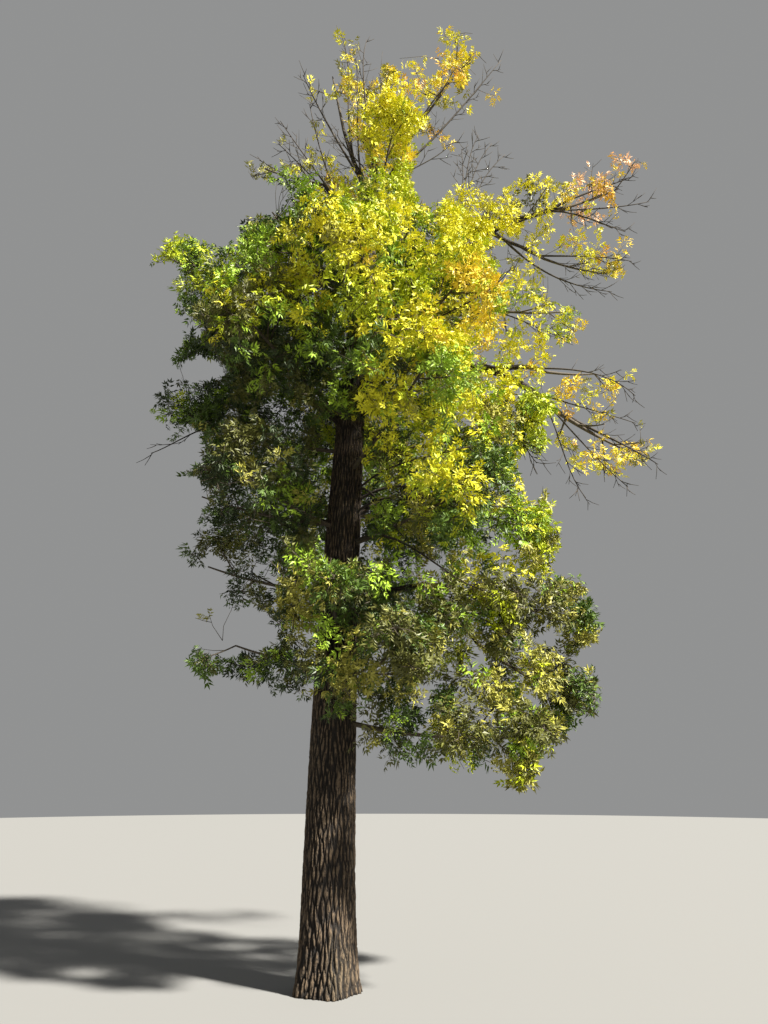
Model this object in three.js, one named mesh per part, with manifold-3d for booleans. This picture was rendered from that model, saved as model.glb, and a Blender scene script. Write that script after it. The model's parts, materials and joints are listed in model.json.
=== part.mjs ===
// A single-trunked ash tree in early autumn leaf, built as the plant is: one trunk, its boughs, and
// masses of foliage that each grow from a bough's tip or from the trunk.
// Millimetres, +Z up. The origin is the middle of the flat cut at ground level. X runs to the right of
// the usual view, Y away from the viewer. Every turn is in degrees from +X towards +Y, seen from above,
// and every tilt in degrees above level.

import * as THREE from "three";
import { mergeVertices } from "three/addons/utils/BufferGeometryUtils.js";
import Module from "manifold-3d";

const wasm = await Module();
wasm.setup();

// Trunk: it leans more and more with height, and tapers towards a point above its fork.
const TRUNK_HEIGHT = 9700;
const TRUNK_POINT = 11500;
const TRUNK_RADIUS = 274;
const TRUNK_TAPER = 0.69;
const TRUNK_LEAN = 420;
const LEAN_HEIGHT = 9500;
const LEAN_POWER = 2.3;
const FLARE = 42;
const FLARE_HEIGHT = 220;
const BUTTRESSES = 5;
const BUTTRESS_DEPTH = 0.08;
const BUTTRESS_HEIGHT = 420;
const TRUNK_SIDES = 20;
const TRUNK_RINGS = 10;

// Limbs: the clear gap between two pieces that meet, and how finely a limb is faceted.
const GAP = 0.4;
const BOUGH_SIDES = 6;
const BOUGH_RINGS = 6;
const COLLAR = 0.35;
const COLLAR_LENGTH = 140;
const CROOK = 0.02;
const LIMB_STEPS = 12;
const WELD = 0.001;

// Foliage: a stem with twigs, and at the end of each twig a spray, five leaves round its tip that droop
// like an umbrella. Each stands for a leafy shoot.
const STEM_SIDES = 4;
const STEM_TIP_RADIUS = 9;
const STEM_ROOT_RADIUS = 20;
const STEM_STOUTNESS = 0.012;
const STEM_SHARE = 0.78;
const FIRST_TWIG = 0.08;
const TWIG_SPACING = 0.645;
const TWIG_THICKNESS = 0.7;
const TWIG_TIP_RADIUS = 6;
const TWIG_REACH = 0.82;
const TWIG_SHORTEST = 110;
const TWIG_SPREAD = 74;
const TWIG_SPREAD_END = 34;
const TWIG_STRAY = 40;
const GOLDEN_TURN = 137.5;
const SPRAY_LEAVES = 5;
const SPRAY_REACH = 520;
const SPRAY_SHARE = 0.42;
const SPRAY_DROOP = 14;
const LEAST_DROOP = 0.5;
const DROOP_VARIES = 1;
const LEAST_LEAF = 0.8;
const LEAF_VARIES = 0.4;
const SPRAY_NOTCH = 0.48;
const SPRAY_RISE = 18;
const SPRAY_SUNK = 30;
const SPRAY_OFFSET = 38;
const SPRAY_SEAT = 14;
const SPRAY_UPWARD = 0.3;
const LEAF_SHORTEST = 0.4;
const LEAF_STUB = 60;
const SPACE_MARGIN = 13;
const LEAF_MARGIN = 60;
const FINE_STEP = 1;
const SLIVER = 2;
const HAIRLINE = 0.05;

// Boughs. on: the bough that this one leaves, or none where it leaves the trunk; at: the share of its
// parent's length where it leaves; reach, rise: its tip, level and upright, from there; arch: how far its
// middle stands above a straight line.
const BOUGHS = {
  leader_left: { at: 0.955, turn: 178, reach: 420, rise: 1390, arch: -60, radius: 42, tip: 22 },
  leader_right: { at: 0.97, turn: 2, reach: 620, rise: 1340, arch: -80, radius: 42, tip: 22 },
  left_top: { at: 0.875, turn: 175, reach: 610, rise: 1230, arch: 40, radius: 40, tip: 20 },
  left_upper: { at: 0.71, turn: 180, reach: 970, rise: 960, arch: 60, radius: 52, tip: 24 },
  far_left: { at: 0.65, turn: 186, reach: 1370, rise: 1150, arch: 90, radius: 58, tip: 26 },
  left_mid: { at: 0.608, turn: 174, reach: 1000, rise: 700, arch: 60, radius: 48, tip: 24 },
  broken: { at: 0.634, turn: -25, reach: 440, rise: -110, arch: 30, radius: 60, tip: 48 },
  right_upper: { at: 0.815, turn: 4, reach: 2700, rise: 1500, arch: 70, radius: 68, tip: 22 },
  right_side: { on: "right_upper", at: 0.27, turn: -16, reach: 480, rise: 560, radius: 30, tip: 20 },
  right_fork: { on: "right_upper", at: 0.64, turn: 22, reach: 840, rise: -200, radius: 26, tip: 18 },
  right_second: { at: 0.735, turn: 8, reach: 1730, rise: 680, arch: 150, radius: 50, tip: 22 },
  right_great: { at: 0.67, turn: 15, reach: 2710, rise: 80, arch: 500, radius: 98, tip: 36 },
  great_fork: { on: "right_great", at: 0.68, turn: 4, reach: 700, rise: 10, arch: 60, radius: 38, tip: 22 },
  right_bulge: { at: 0.485, turn: -4, reach: 1150, rise: 260, arch: 190, radius: 40, tip: 22 },
  right_low: { at: 0.375, turn: 2, reach: 1680, rise: 190, arch: 230, radius: 44, tip: 22 },
  right_drop: { on: "right_low", at: 0.62, turn: -14, reach: 500, rise: -680, radius: 28, tip: 20 },
};

// Foliage masses. on: the bough whose tip the stem carries on, or none where it leaves the trunk at the
// share that at gives; bare: the length of stem before the leaves; long, wide: the size of the space that
// the leaves keep to, along the stem and across it; tint: the autumn colour.
const MASSES = {
  top_left: { on: "leader_left", turn: 170, tilt: 80, long: 1750, wide: 850, tint: "gold" },
  top_mid: { turn: 60, tilt: 86, bare: 750, long: 1750, wide: 850, tint: "gold" },
  top_right: { on: "leader_right", turn: 0, tilt: 60, long: 1850, wide: 1300, tint: "gold" },
  neck_front: { at: 0.93, turn: -62, tilt: 58, bare: 220, long: 1500, wide: 1150, tint: "yellow" },
  neck_back: { at: 0.94, turn: 105, tilt: 60, bare: 260, long: 1500, wide: 1200, tint: "yellow" },
  left_top: { on: "left_top", turn: 178, tilt: 20, long: 1150, wide: 950, tint: "gold" },
  crown_left: { at: 0.77, turn: -138, tilt: 33, bare: 590, long: 1500, wide: 1450, tint: "green" },
  left_upper: { on: "left_upper", turn: 178, tilt: 66, long: 1400, wide: 1150, tint: "deep" },
  far_left: { on: "far_left", turn: 184, tilt: 46, long: 1550, wide: 1250, tint: "green" },
  left_mid: { on: "left_mid", turn: 178, tilt: 30, long: 1300, wide: 1250, tint: "olive" },
  left_dark: { at: 0.578, turn: 174, tilt: 16, bare: 700, long: 1600, wide: 1250, tint: "deep" },
  left_inner: { at: 0.483, turn: 174, tilt: 14, bare: 660, long: 1500, wide: 1150, tint: "olive" },
  left_low: { at: 0.4, turn: 178, tilt: 12, bare: 540, long: 1300, wide: 1150, tint: "deep" },
  left_foot: { at: 0.313, turn: -162, tilt: 12, bare: 350, long: 1350, wide: 1100, tint: "olive" },
  crown_right: { at: 0.762, turn: -54, tilt: 38, bare: 480, long: 1550, wide: 1450, tint: "lime" },
  front_high: { at: 0.714, turn: -93, tilt: 18, bare: 570, long: 1600, wide: 1550, tint: "lime" },
  front_left: { at: 0.62, turn: -131, tilt: 22, bare: 780, long: 1600, wide: 1450, tint: "olive" },
  front_right: { at: 0.672, turn: -42, tilt: 24, bare: 750, long: 1600, wide: 1450, tint: "yellow" },
  front_mid: { at: 0.548, turn: -60, tilt: 20, bare: 760, long: 1600, wide: 1350, tint: "lime" },
  left_front: { at: 0.476, turn: -142, tilt: 16, bare: 470, long: 1500, wide: 1300, tint: "olive" },
  mid_front: { at: 0.36, turn: -91, tilt: 14, bare: 330, long: 1300, wide: 1150, tint: "olive" },
  low_front: { at: 0.288, turn: -62, tilt: 12, bare: 570, long: 1300, wide: 1050, tint: "olive" },
  right_shoulder: { at: 0.77, turn: -7, tilt: 34, bare: 620, long: 1500, wide: 1200, tint: "yellow" },
  right_under: { at: 0.575, turn: 6, tilt: 15, bare: 1000, long: 1750, wide: 1200, tint: "lime" },
  right_mid: { at: 0.455, turn: -28, tilt: 18, bare: 860, long: 1500, wide: 1350, tint: "lime" },
  right_bulge: { on: "right_bulge", turn: 4, tilt: -16, long: 1500, wide: 1250, tint: "lime" },
  right_low: { on: "right_low", turn: 2, tilt: -10, long: 1450, wide: 1050, tint: "lime" },
  low_inner: { at: 0.345, turn: -20, tilt: 8, bare: 650, long: 1600, wide: 1100, tint: "olive" },
  low_drop: { on: "right_drop", turn: 6, tilt: -30, long: 1450, wide: 1050, tint: "olive" },
  low_drape: { at: 0.259, turn: -21, tilt: -6, bare: 780, long: 1650, wide: 1150, tint: "olive" },
  right_behind: { at: 0.497, turn: 48, tilt: 18, bare: 680, long: 1500, wide: 1350, tint: "green" },
  upper_over: { on: "right_side", turn: 4, tilt: 16, long: 1800, wide: 1100, tint: "yellow" },
  upper_tip: { on: "right_upper", turn: 4, tilt: 26, long: 1600, wide: 1000, tint: "blush" },
  fork_tip: { on: "right_fork", turn: 10, tilt: -8, long: 1200, wide: 850, tint: "gold" },
  second_tip: { on: "right_second", turn: 8, tilt: 4, long: 1500, wide: 1150, tint: "yellow" },
  great_fork: { on: "great_fork", turn: 8, tilt: 4, long: 1250, wide: 850, tint: "gold" },
  great_tip: { on: "right_great", turn: 16, tilt: -24, long: 1600, wide: 1050, tint: "gold" },
  back_top: { at: 0.83, turn: 87, tilt: 40, bare: 530, long: 1550, wide: 1450, tint: "lime" },
  back_left: { at: 0.72, turn: 134, tilt: 26, bare: 1070, long: 1600, wide: 1500, tint: "green" },
  back_right: { at: 0.702, turn: 53, tilt: 26, bare: 1010, long: 1600, wide: 1500, tint: "yellow" },
  back_mid: { at: 0.61, turn: 92, tilt: 20, bare: 900, long: 1600, wide: 1500, tint: "lime" },
  back_low_left: { at: 0.492, turn: 130, tilt: 16, bare: 760, long: 1600, wide: 1400, tint: "green" },
  back_low: { at: 0.392, turn: 81, tilt: 12, bare: 650, long: 1600, wide: 1300, tint: "olive" },
};

// Where a mass starts when its row doesn't say: at its bough's tip, in leaf from there.
const FROM_TIP = { at: 1, bare: 0 };

const BARK_COLOUR = 0x5b4a3a;
const TINTS = {
  deep: 0x2f4a16,
  green: 0x4f7a1c,
  olive: 0x6d7a22,
  lime: 0x93a821,
  yellow: 0xc9b41f,
  gold: 0xd9a91c,
  blush: 0xd99a5a,
};

const radians = THREE.MathUtils.degToRad;

// A direction from its turn and tilt.
function heading(turn, tilt) {
  const level = Math.cos(radians(tilt));
  return new THREE.Vector3(
    level * Math.cos(radians(turn)),
    level * Math.sin(radians(turn)),
    Math.sin(radians(tilt)),
  );
}

// The direction that lies at an angle from one direction towards another at right angles to it.
function blend(from, towards, angle) {
  return from.clone().multiplyScalar(Math.cos(angle)).addScaledVector(towards, Math.sin(angle));
}

// Numbers from 0 to 1 that are the same on each run: a 32-bit multiply-and-shift generator.
function seeded(seed) {
  let state = seed >>> 0;
  return () => {
    state = (Math.imul(state, 1664525) + 1013904223) >>> 0;
    return state / 4294967296;
  };
}

// The trunk's line, from the ground to its fork.
class TrunkLine extends THREE.Curve {
  getPoint(share, target = new THREE.Vector3()) {
    const height = share * TRUNK_HEIGHT;
    return target.set(TRUNK_LEAN * (height / LEAN_HEIGHT) ** LEAN_POWER, 0, height);
  }
}

// A limb's line: straight to its tip, plus an arch and a slight sideways crook.
class LimbLine extends THREE.Curve {
  constructor(start, along, turn, arch) {
    super();
    this.start = start;
    this.along = along;
    this.arch = arch;
    this.side = heading(turn + 90, 0);
    this.crook = CROOK * along.length();
  }

  getPoint(share, target = new THREE.Vector3()) {
    target.copy(this.start).addScaledVector(this.along, share);
    target.z += 4 * this.arch * share * (1 - share);
    return target.addScaledVector(this.side, this.crook * Math.sin(2 * Math.PI * share));
  }
}

// Turns a closed geometry into a solid that can be cut and joined.
function solidOf(geometry) {
  const bare = geometry.clone();
  bare.deleteAttribute("normal");
  bare.deleteAttribute("uv");
  const merged = mergeVertices(bare, WELD);
  return new wasm.Manifold(
    new wasm.Mesh({
      numProp: 3,
      vertProperties: new Float32Array(merged.attributes.position.array),
      triVerts: new Uint32Array(merged.index.array),
    }),
  );
}

// Turns a solid back into a geometry with flat faces.
function geometryOf(solid) {
  const mesh = solid.getMesh();
  const geometry = new THREE.BufferGeometry();
  geometry.setAttribute("position", new THREE.BufferAttribute(mesh.vertProperties, 3));
  geometry.setIndex(new THREE.BufferAttribute(mesh.triVerts, 1));
  geometry.computeVertexNormals();
  return geometry;
}

// Bends a cylinder along a line. radiusAt(share, angle) is its radius; grow makes it that much fatter
// and longer.
function sweep(line, sideways, radiusAt, sides, rings, grow = 0) {
  const geometry = new THREE.CylinderGeometry(1, 1, 1, sides, rings);
  const places = geometry.attributes.position;
  const length = line.getLength();
  const point = new THREE.Vector3();
  for (let i = 0; i < places.count; i++) {
    const share = (places.getY(i) + 0.5) * (1 + grow / length);
    const tangent = line.getTangent(Math.min(share, 1));
    const across = sideways.clone().addScaledVector(tangent, -sideways.dot(tangent)).normalize();
    const over = new THREE.Vector3().crossVectors(across, tangent);
    const angle = Math.atan2(places.getX(i), places.getZ(i));
    const radius = radiusAt(share, angle) + grow;
    line.getPoint(share, point);
    point.addScaledVector(across, places.getX(i) * radius);
    point.addScaledVector(over, places.getZ(i) * radius);
    places.setXYZ(i, point.x, point.y, point.z);
  }
  return solidOf(geometry);
}

// The trunk's radius: a power taper, a flare at the foot, and buttresses that die out upwards.
function trunkRadius(share, angle) {
  const height = share * TRUNK_HEIGHT;
  const shaft = TRUNK_RADIUS * (1 - height / TRUNK_POINT) ** TRUNK_TAPER;
  const foot = FLARE * Math.exp(-height / FLARE_HEIGHT);
  const lobe = BUTTRESS_DEPTH * Math.exp(-height / BUTTRESS_HEIGHT) * Math.cos(BUTTRESSES * angle);
  return (shaft + foot) * (1 + lobe);
}

// Limbs: each holds its line, its radius rule, its facets and its solid.
const limbs = new Map();

function parentOf(size) {
  return limbs.get(size.on ? `bough_${size.on}` : "trunk");
}

function grown(limb) {
  return sweep(limb.line, limb.sideways, limb.radiusAt, limb.sides, limb.rings, GAP);
}

function makeLimb(name, line, turn, radiusAt, sides, rings) {
  const limb = { name, line, sideways: heading(turn + 90, 0), radiusAt, sides, rings };
  limb.solid = sweep(line, limb.sideways, radiusAt, sides, rings);
  limb.points = line.getPoints(LIMB_STEPS);
  limb.radii = limb.points.map((_, i) => radiusAt(i / LIMB_STEPS, 0));
  limbs.set(name, limb);
  return limb;
}

function makeTrunk() {
  makeLimb("trunk", new TrunkLine(), 0, trunkRadius, TRUNK_SIDES, TRUNK_RINGS);
}

function makeBough(name, size) {
  const parent = parentOf(size);
  const start = parent.line.getPoint(size.at);
  const along = heading(size.turn, 0).multiplyScalar(size.reach);
  along.z = size.rise;
  const length = along.length();
  const radiusAt = (share) => {
    const shaft = THREE.MathUtils.lerp(size.radius, size.tip, share);
    return shaft + size.radius * COLLAR * Math.exp((-share * length) / COLLAR_LENGTH);
  };
  const line = new LimbLine(start, along, size.turn, size.arch ?? 0);
  const bough = makeLimb(name, line, size.turn, radiusAt, BOUGH_SIDES, BOUGH_RINGS);
  bough.solid = bough.solid.subtract(grown(parent));
}

// A mass's stem leaves its parent's tip or side, bare at first, then runs through the mass's space.
function makeStem(name, size) {
  const parent = parentOf(size);
  const start = parent.line.getPoint(size.at);
  const ahead = heading(size.turn, size.tilt);
  const length = size.bare + STEM_SHARE * size.long;
  const root = size.on ? parent.radiusAt(1, 0) : STEM_ROOT_RADIUS + STEM_STOUTNESS * size.bare;
  const radiusAt = (share) => THREE.MathUtils.lerp(root, STEM_TIP_RADIUS, share);
  const line = new THREE.LineCurve3(start, start.clone().addScaledVector(ahead, length));
  const stem = makeLimb(name, line, size.turn, radiusAt, STEM_SIDES, 1);
  stem.parent = parent;
  stem.ahead = ahead;
  stem.length = length;
  stem.size = size;
  stem.reach = Math.min(SPRAY_REACH, SPRAY_SHARE * size.wide);
  stem.centre = start.clone().addScaledVector(ahead, size.bare + size.long / 2);
  return stem;
}

// How far a mass's space reaches from its centre in a direction: the radius of a spheroid.
function spaceRadius(stem, direction) {
  const along = direction.dot(stem.ahead) ** 2;
  return 1 / Math.sqrt(along / (stem.size.long / 2) ** 2 + (1 - along) / (stem.size.wide / 2) ** 2);
}

// The flat walls between a mass and its neighbours, each as a plane that faces away from the mass.
function wallsOf(stem, stems) {
  const walls = [];
  for (const other of stems) {
    const apart = other.centre.clone().sub(stem.centre);
    const distance = apart.length();
    if (other === stem || distance === 0) continue;
    const direction = apart.divideScalar(distance);
    const mine = spaceRadius(stem, direction);
    const theirs = spaceRadius(other, direction);
    const wall = stem.centre.clone().addScaledVector(direction, (distance * mine) / (mine + theirs));
    walls.push(new THREE.Plane().setFromNormalAndCoplanarPoint(direction, wall));
  }
  return walls;
}

function insideSpace(stem, walls, point) {
  const from = point.clone().sub(stem.centre);
  const distance = from.length();
  if (distance > FINE_STEP && distance > spaceRadius(stem, from.divideScalar(distance))) return false;
  return walls.every((wall) => wall.distanceToPoint(point) < -SPACE_MARGIN);
}

// Whether a ball of this radius stays clear of every limb and stem but its own.
function clearOfLimbs(own, point, radius) {
  const nearest = new THREE.Vector3();
  for (const limb of limbs.values()) {
    if (limb === own) continue;
    for (let i = 1; i < limb.points.length; i++) {
      const piece = new THREE.Line3(limb.points[i - 1], limb.points[i]);
      piece.closestPointToPoint(point, true, nearest);
      if (nearest.distanceTo(point) < limb.radii[i - 1] + radius) return false;
    }
  }
  return true;
}

// How far a straight line from a point can run inside the walls and clear of other limbs, up to a length.
function reachFrom(stem, walls, start, direction, wanted, margin) {
  const at = (distance) => start.clone().addScaledVector(direction, distance);
  let near = 0;
  let far = wanted;
  if (insideSpace(stem, walls, at(wanted))) near = wanted;
  while (far - near > FINE_STEP) {
    const middle = (near + far) / 2;
    if (insideSpace(stem, walls, at(middle))) near = middle;
    else far = middle;
  }
  for (let distance = LEAF_MARGIN; distance < near + LEAF_MARGIN; distance += LEAF_MARGIN) {
    if (!clearOfLimbs(stem, at(Math.min(distance, near)), margin)) return distance - LEAF_MARGIN;
  }
  return near;
}

// A twig of a mass: where it leaves the stem, its direction and its end.
function planTwig(stem, walls, index, count, random) {
  const share = (index + 0.5) / count;
  const along = stem.size.bare + (FIRST_TWIG + share * (STEM_SHARE - FIRST_TWIG)) * stem.size.long;
  const root = stem.line.getPoint(along / stem.length);
  const around = radians(GOLDEN_TURN * index + TWIG_STRAY * random());
  const spread = radians(THREE.MathUtils.lerp(TWIG_SPREAD, TWIG_SPREAD_END, share));
  const upper = new THREE.Vector3().crossVectors(stem.sideways, stem.ahead);
  const outward = blend(stem.sideways, upper, around);
  const way = blend(stem.ahead, outward, spread);
  const side = new THREE.Vector3().crossVectors(way, outward).normalize();
  const room = reachFrom(stem, walls, root, way, stem.size.long, LEAF_MARGIN / 2);
  const end = root.clone().addScaledVector(way, TWIG_REACH * room);
  const radius = TWIG_THICKNESS * stem.radiusAt(along / stem.length);
  return { root, way, side, end, radius, length: TWIG_REACH * room };
}

// Sets where a spray lies: its middle is a little aside of the twig's end, so that the twig runs into one
// face, and its upright leans from the twig's own direction towards the sky. Its first leaf is turned round
// by so many leaves.
function seatSpray(twig, turned) {
  twig.up = twig.way.clone().addScaledVector(new THREE.Vector3(0, 0, 1), SPRAY_UPWARD).normalize();
  twig.right = twig.side.clone().addScaledVector(twig.up, -twig.side.dot(twig.up)).normalize();
  twig.right.applyAxisAngle(twig.up, (turned * 2 * Math.PI) / SPRAY_LEAVES);
  twig.front = new THREE.Vector3().crossVectors(twig.up, twig.right);
  twig.middle = twig.end.clone().addScaledVector(sprayWay(twig, 0.5, 0), -SPRAY_OFFSET);
  twig.middle.addScaledVector(twig.up, SPRAY_SEAT);
}

// The direction from a spray's middle to one of its corners, even for a leaf tip and odd for a notch.
function sprayWay(twig, corner, droop) {
  const out = blend(twig.right, twig.front, (corner * Math.PI) / SPRAY_LEAVES);
  return blend(out, twig.up, -droop);
}

// The leaves of a spray: each droops and reaches as far as the walls, the limbs and its own length let it.
// The spray is turned until the two leaves over the twig are long, or it is left out.
function planLeaves(stem, walls, twig, random) {
  const wanted = Array.from({ length: SPRAY_LEAVES }, () => ({
    droop: radians(SPRAY_DROOP * (LEAST_DROOP + DROOP_VARIES * random())),
    length: stem.reach * (LEAST_LEAF + LEAF_VARIES * random()),
  }));
  for (let turned = 0; turned < SPRAY_LEAVES; turned++) {
    seatSpray(twig, turned);
    if (!insideSpace(stem, walls, twig.middle) || !clearOfLimbs(stem, twig.middle, LEAF_MARGIN)) continue;
    const leaves = wanted.map(({ droop, length }, leaf) => {
      const way = sprayWay(twig, 2 * leaf, droop);
      return { droop, length: reachFrom(stem, walls, twig.middle, way, length, LEAF_MARGIN) };
    });
    const shortest = Math.min(...leaves.map((leaf) => leaf.length));
    const carried = Math.min(leaves[0].length, leaves[1].length);
    if (shortest > LEAF_STUB && carried > LEAF_SHORTEST * stem.reach) return leaves;
  }
  return null;
}

// A spray as a solid: a sphere with one ring of points, drawn out into leaf tips with notches between them.
function sprayOf(twig, leaves) {
  const geometry = new THREE.SphereGeometry(1, 2 * SPRAY_LEAVES, 2);
  const places = geometry.attributes.position;
  const up = twig.up;
  for (let i = 0; i < places.count; i++) {
    const turn = Math.atan2(places.getZ(i), -places.getX(i));
    const corner = (Math.round((turn * SPRAY_LEAVES) / Math.PI) + 2 * SPRAY_LEAVES) % (2 * SPRAY_LEAVES);
    const before = leaves[Math.floor(corner / 2)];
    const after = leaves[Math.ceil(corner / 2) % SPRAY_LEAVES];
    const droop = (before.droop + after.droop) / 2;
    const notch = corner % 2 ? SPRAY_NOTCH : 1;
    const reach = notch * Math.min(before.length, after.length);
    const place = sprayWay(twig, corner, droop).multiplyScalar(reach);
    if (places.getY(i) > 0.5) place.copy(up).multiplyScalar(SPRAY_RISE);
    if (places.getY(i) < -0.5) place.copy(up).multiplyScalar(-SPRAY_SUNK);
    place.add(twig.middle);
    places.setXYZ(i, place.x, place.y, place.z);
  }
  return solidOf(geometry);
}

// The twigs of a mass that have room for a spray. The last is the stem's own tip.
function planTwigs(stem, walls, random) {
  const count = Math.round(stem.size.long / (TWIG_SPACING * stem.reach));
  const twigs = [];
  for (let index = 0; index < count; index++) twigs.push(planTwig(stem, walls, index, count, random));
  twigs.push({ way: stem.ahead, side: stem.sideways, end: stem.line.getPoint(1), length: TWIG_SHORTEST });
  return twigs.filter((twig) => twig.length >= TWIG_SHORTEST);
}

// One mass: its stem, its twigs, and the sprays, which keep to walls halfway to each other.
function makeFoliage(stem, seed) {
  const neighbours = [...limbs.values()].filter((limb) => limb.size);
  const walls = wallsOf(stem, neighbours);
  const random = seeded(seed);
  const twigs = planTwigs(stem, walls, random);
  const pieces = [stem.solid];
  for (const twig of twigs) {
    const own = [...walls];
    for (const other of twigs) {
      if (other === twig) continue;
      const halfway = twig.end.clone().add(other.end).divideScalar(2);
      const apart = other.end.clone().sub(twig.end).normalize();
      own.push(new THREE.Plane().setFromNormalAndCoplanarPoint(apart, halfway));
    }
    const leaves = planLeaves(stem, own, twig, random);
    if (!leaves) continue;
    pieces.push(sprayOf(twig, leaves));
    if (!twig.root) continue;
    const radiusAt = (part) => THREE.MathUtils.lerp(twig.radius, TWIG_TIP_RADIUS, part);
    pieces.push(sweep(new THREE.LineCurve3(twig.root, twig.end), twig.side, radiusAt, 3, 1));
  }
  return wasm.Manifold.union(pieces).simplify(SLIVER).subtract(grown(stem.parent));
}

// Puts a solid into the scene as one named mesh, with its finest slivers closed up.
const tree = new THREE.Group();

function show(name, solid, material) {
  const mesh = new THREE.Mesh(geometryOf(solid.simplify(HAIRLINE)), material);
  mesh.name = name;
  tree.add(mesh);
}

makeTrunk();
for (const [name, size] of Object.entries(BOUGHS)) makeBough(`bough_${name}`, size);
const stems = Object.entries(MASSES).map(([name, size]) => {
  return makeStem(`foliage_${name}`, { ...FROM_TIP, ...size });
});

const bark = new THREE.MeshStandardMaterial({ color: BARK_COLOUR, roughness: 0.9, metalness: 0 });
for (const limb of limbs.values()) {
  if (!limb.size) show(limb.name, limb.solid, bark);
}

const leafMaterials = Object.fromEntries(
  Object.entries(TINTS).map(([tint, color]) => [
    tint,
    new THREE.MeshStandardMaterial({ color, roughness: 0.6, metalness: 0 }),
  ]),
);
stems.forEach((stem, index) => {
  show(stem.name, makeFoliage(stem, index + 1), leafMaterials[stem.size.tint]);
});

export default tree;
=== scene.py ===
# %% [markdown]
# # An ash tree in autumn leaf
#
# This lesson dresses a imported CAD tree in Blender. The real object is a single-trunked ash, 12.3 m tall:
# a furrowed trunk, thin boughs that mostly reach to the right, and an open crown whose leaves turn from
# green through lime to gold. The CAD part gives the places and sizes. It shows the trunk and boughs as
# smooth facets, and each mass of foliage as a stem, twigs and big stand-in sprays. Here the trunk and the
# boughs get their bark, and the same growing rule is run again and carried on to fine shoots and leaves.
#
# Everything is in metres, +Z up, with the origin at the middle of the flat cut at ground level.

# %% Load the fixed frame
import json

import bpy
import numpy as np
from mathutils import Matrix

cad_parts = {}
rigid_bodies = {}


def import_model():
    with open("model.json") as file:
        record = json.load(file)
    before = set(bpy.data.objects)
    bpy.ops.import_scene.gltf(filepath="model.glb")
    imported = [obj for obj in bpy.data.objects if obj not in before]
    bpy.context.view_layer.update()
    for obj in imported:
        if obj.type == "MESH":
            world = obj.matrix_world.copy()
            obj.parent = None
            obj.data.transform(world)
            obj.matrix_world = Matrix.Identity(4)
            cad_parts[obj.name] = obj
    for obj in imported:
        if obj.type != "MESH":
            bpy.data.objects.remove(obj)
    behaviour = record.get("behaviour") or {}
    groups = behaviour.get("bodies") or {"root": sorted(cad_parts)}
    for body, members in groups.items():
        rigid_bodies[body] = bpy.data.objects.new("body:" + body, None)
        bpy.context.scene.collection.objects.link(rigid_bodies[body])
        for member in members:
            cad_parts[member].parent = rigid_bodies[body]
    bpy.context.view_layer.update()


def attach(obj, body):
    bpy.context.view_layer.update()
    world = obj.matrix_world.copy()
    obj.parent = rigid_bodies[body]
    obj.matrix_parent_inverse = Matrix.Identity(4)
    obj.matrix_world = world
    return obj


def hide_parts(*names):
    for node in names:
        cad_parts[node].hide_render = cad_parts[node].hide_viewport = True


for left_over in list(bpy.data.objects):
    bpy.data.objects.remove(left_over)
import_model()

# %% [markdown]
# ## The camera
#
# The camera stands where the photographer stood: 8.3 m in front of the trunk, 1.9 m up, and tilted up by
# almost 20 degrees. A 26 mm lens on a 36 mm sensor is a phone's wide camera. It comes first, because
# every later choice, such as how fine a leaf has to be, depends on how near the camera is.

# %% Camera
EYE = (0.552, -8.259, 1.9)
LENS = 26.37
SENSOR = 36
LOOKS_UP = 19.66

camera_data = bpy.data.cameras.new("camera")
camera_data.lens = LENS
camera_data.sensor_width = SENSOR
camera = bpy.data.objects.new("camera", camera_data)
camera.location = EYE
camera.rotation_euler = (np.radians(90 + LOOKS_UP), 0, 0)
bpy.context.scene.collection.objects.link(camera)
bpy.context.scene.camera = camera
print("camera", EYE, "tilted up by", LOOKS_UP)

# %% [markdown]
# ## The tree's driving sizes
#
# A tree is a rule more than a shape. These tables hold the same driving sizes as the part's source: where
# each bough leaves its parent and where it ends, and the space that each mass of foliage keeps to. They
# are written in millimetres, as there, and turned into metres once, when they are read.

# %% Trunk and boughs
MM = 0.001
TRUNK_HEIGHT = 9700 * MM
TRUNK_POINT = 11500 * MM
TRUNK_RADIUS = 274 * MM
TRUNK_TAPER = 0.69
TRUNK_LEAN = 420 * MM
LEAN_HEIGHT = 9500 * MM
LEAN_POWER = 2.3
FLARE = 42 * MM
FLARE_HEIGHT = 220 * MM
BUTTRESSES = 5
BUTTRESS_DEPTH = 0.08
BUTTRESS_HEIGHT = 420 * MM
COLLAR = 0.35
COLLAR_LENGTH = 140 * MM
CROOK = 0.02

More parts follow.
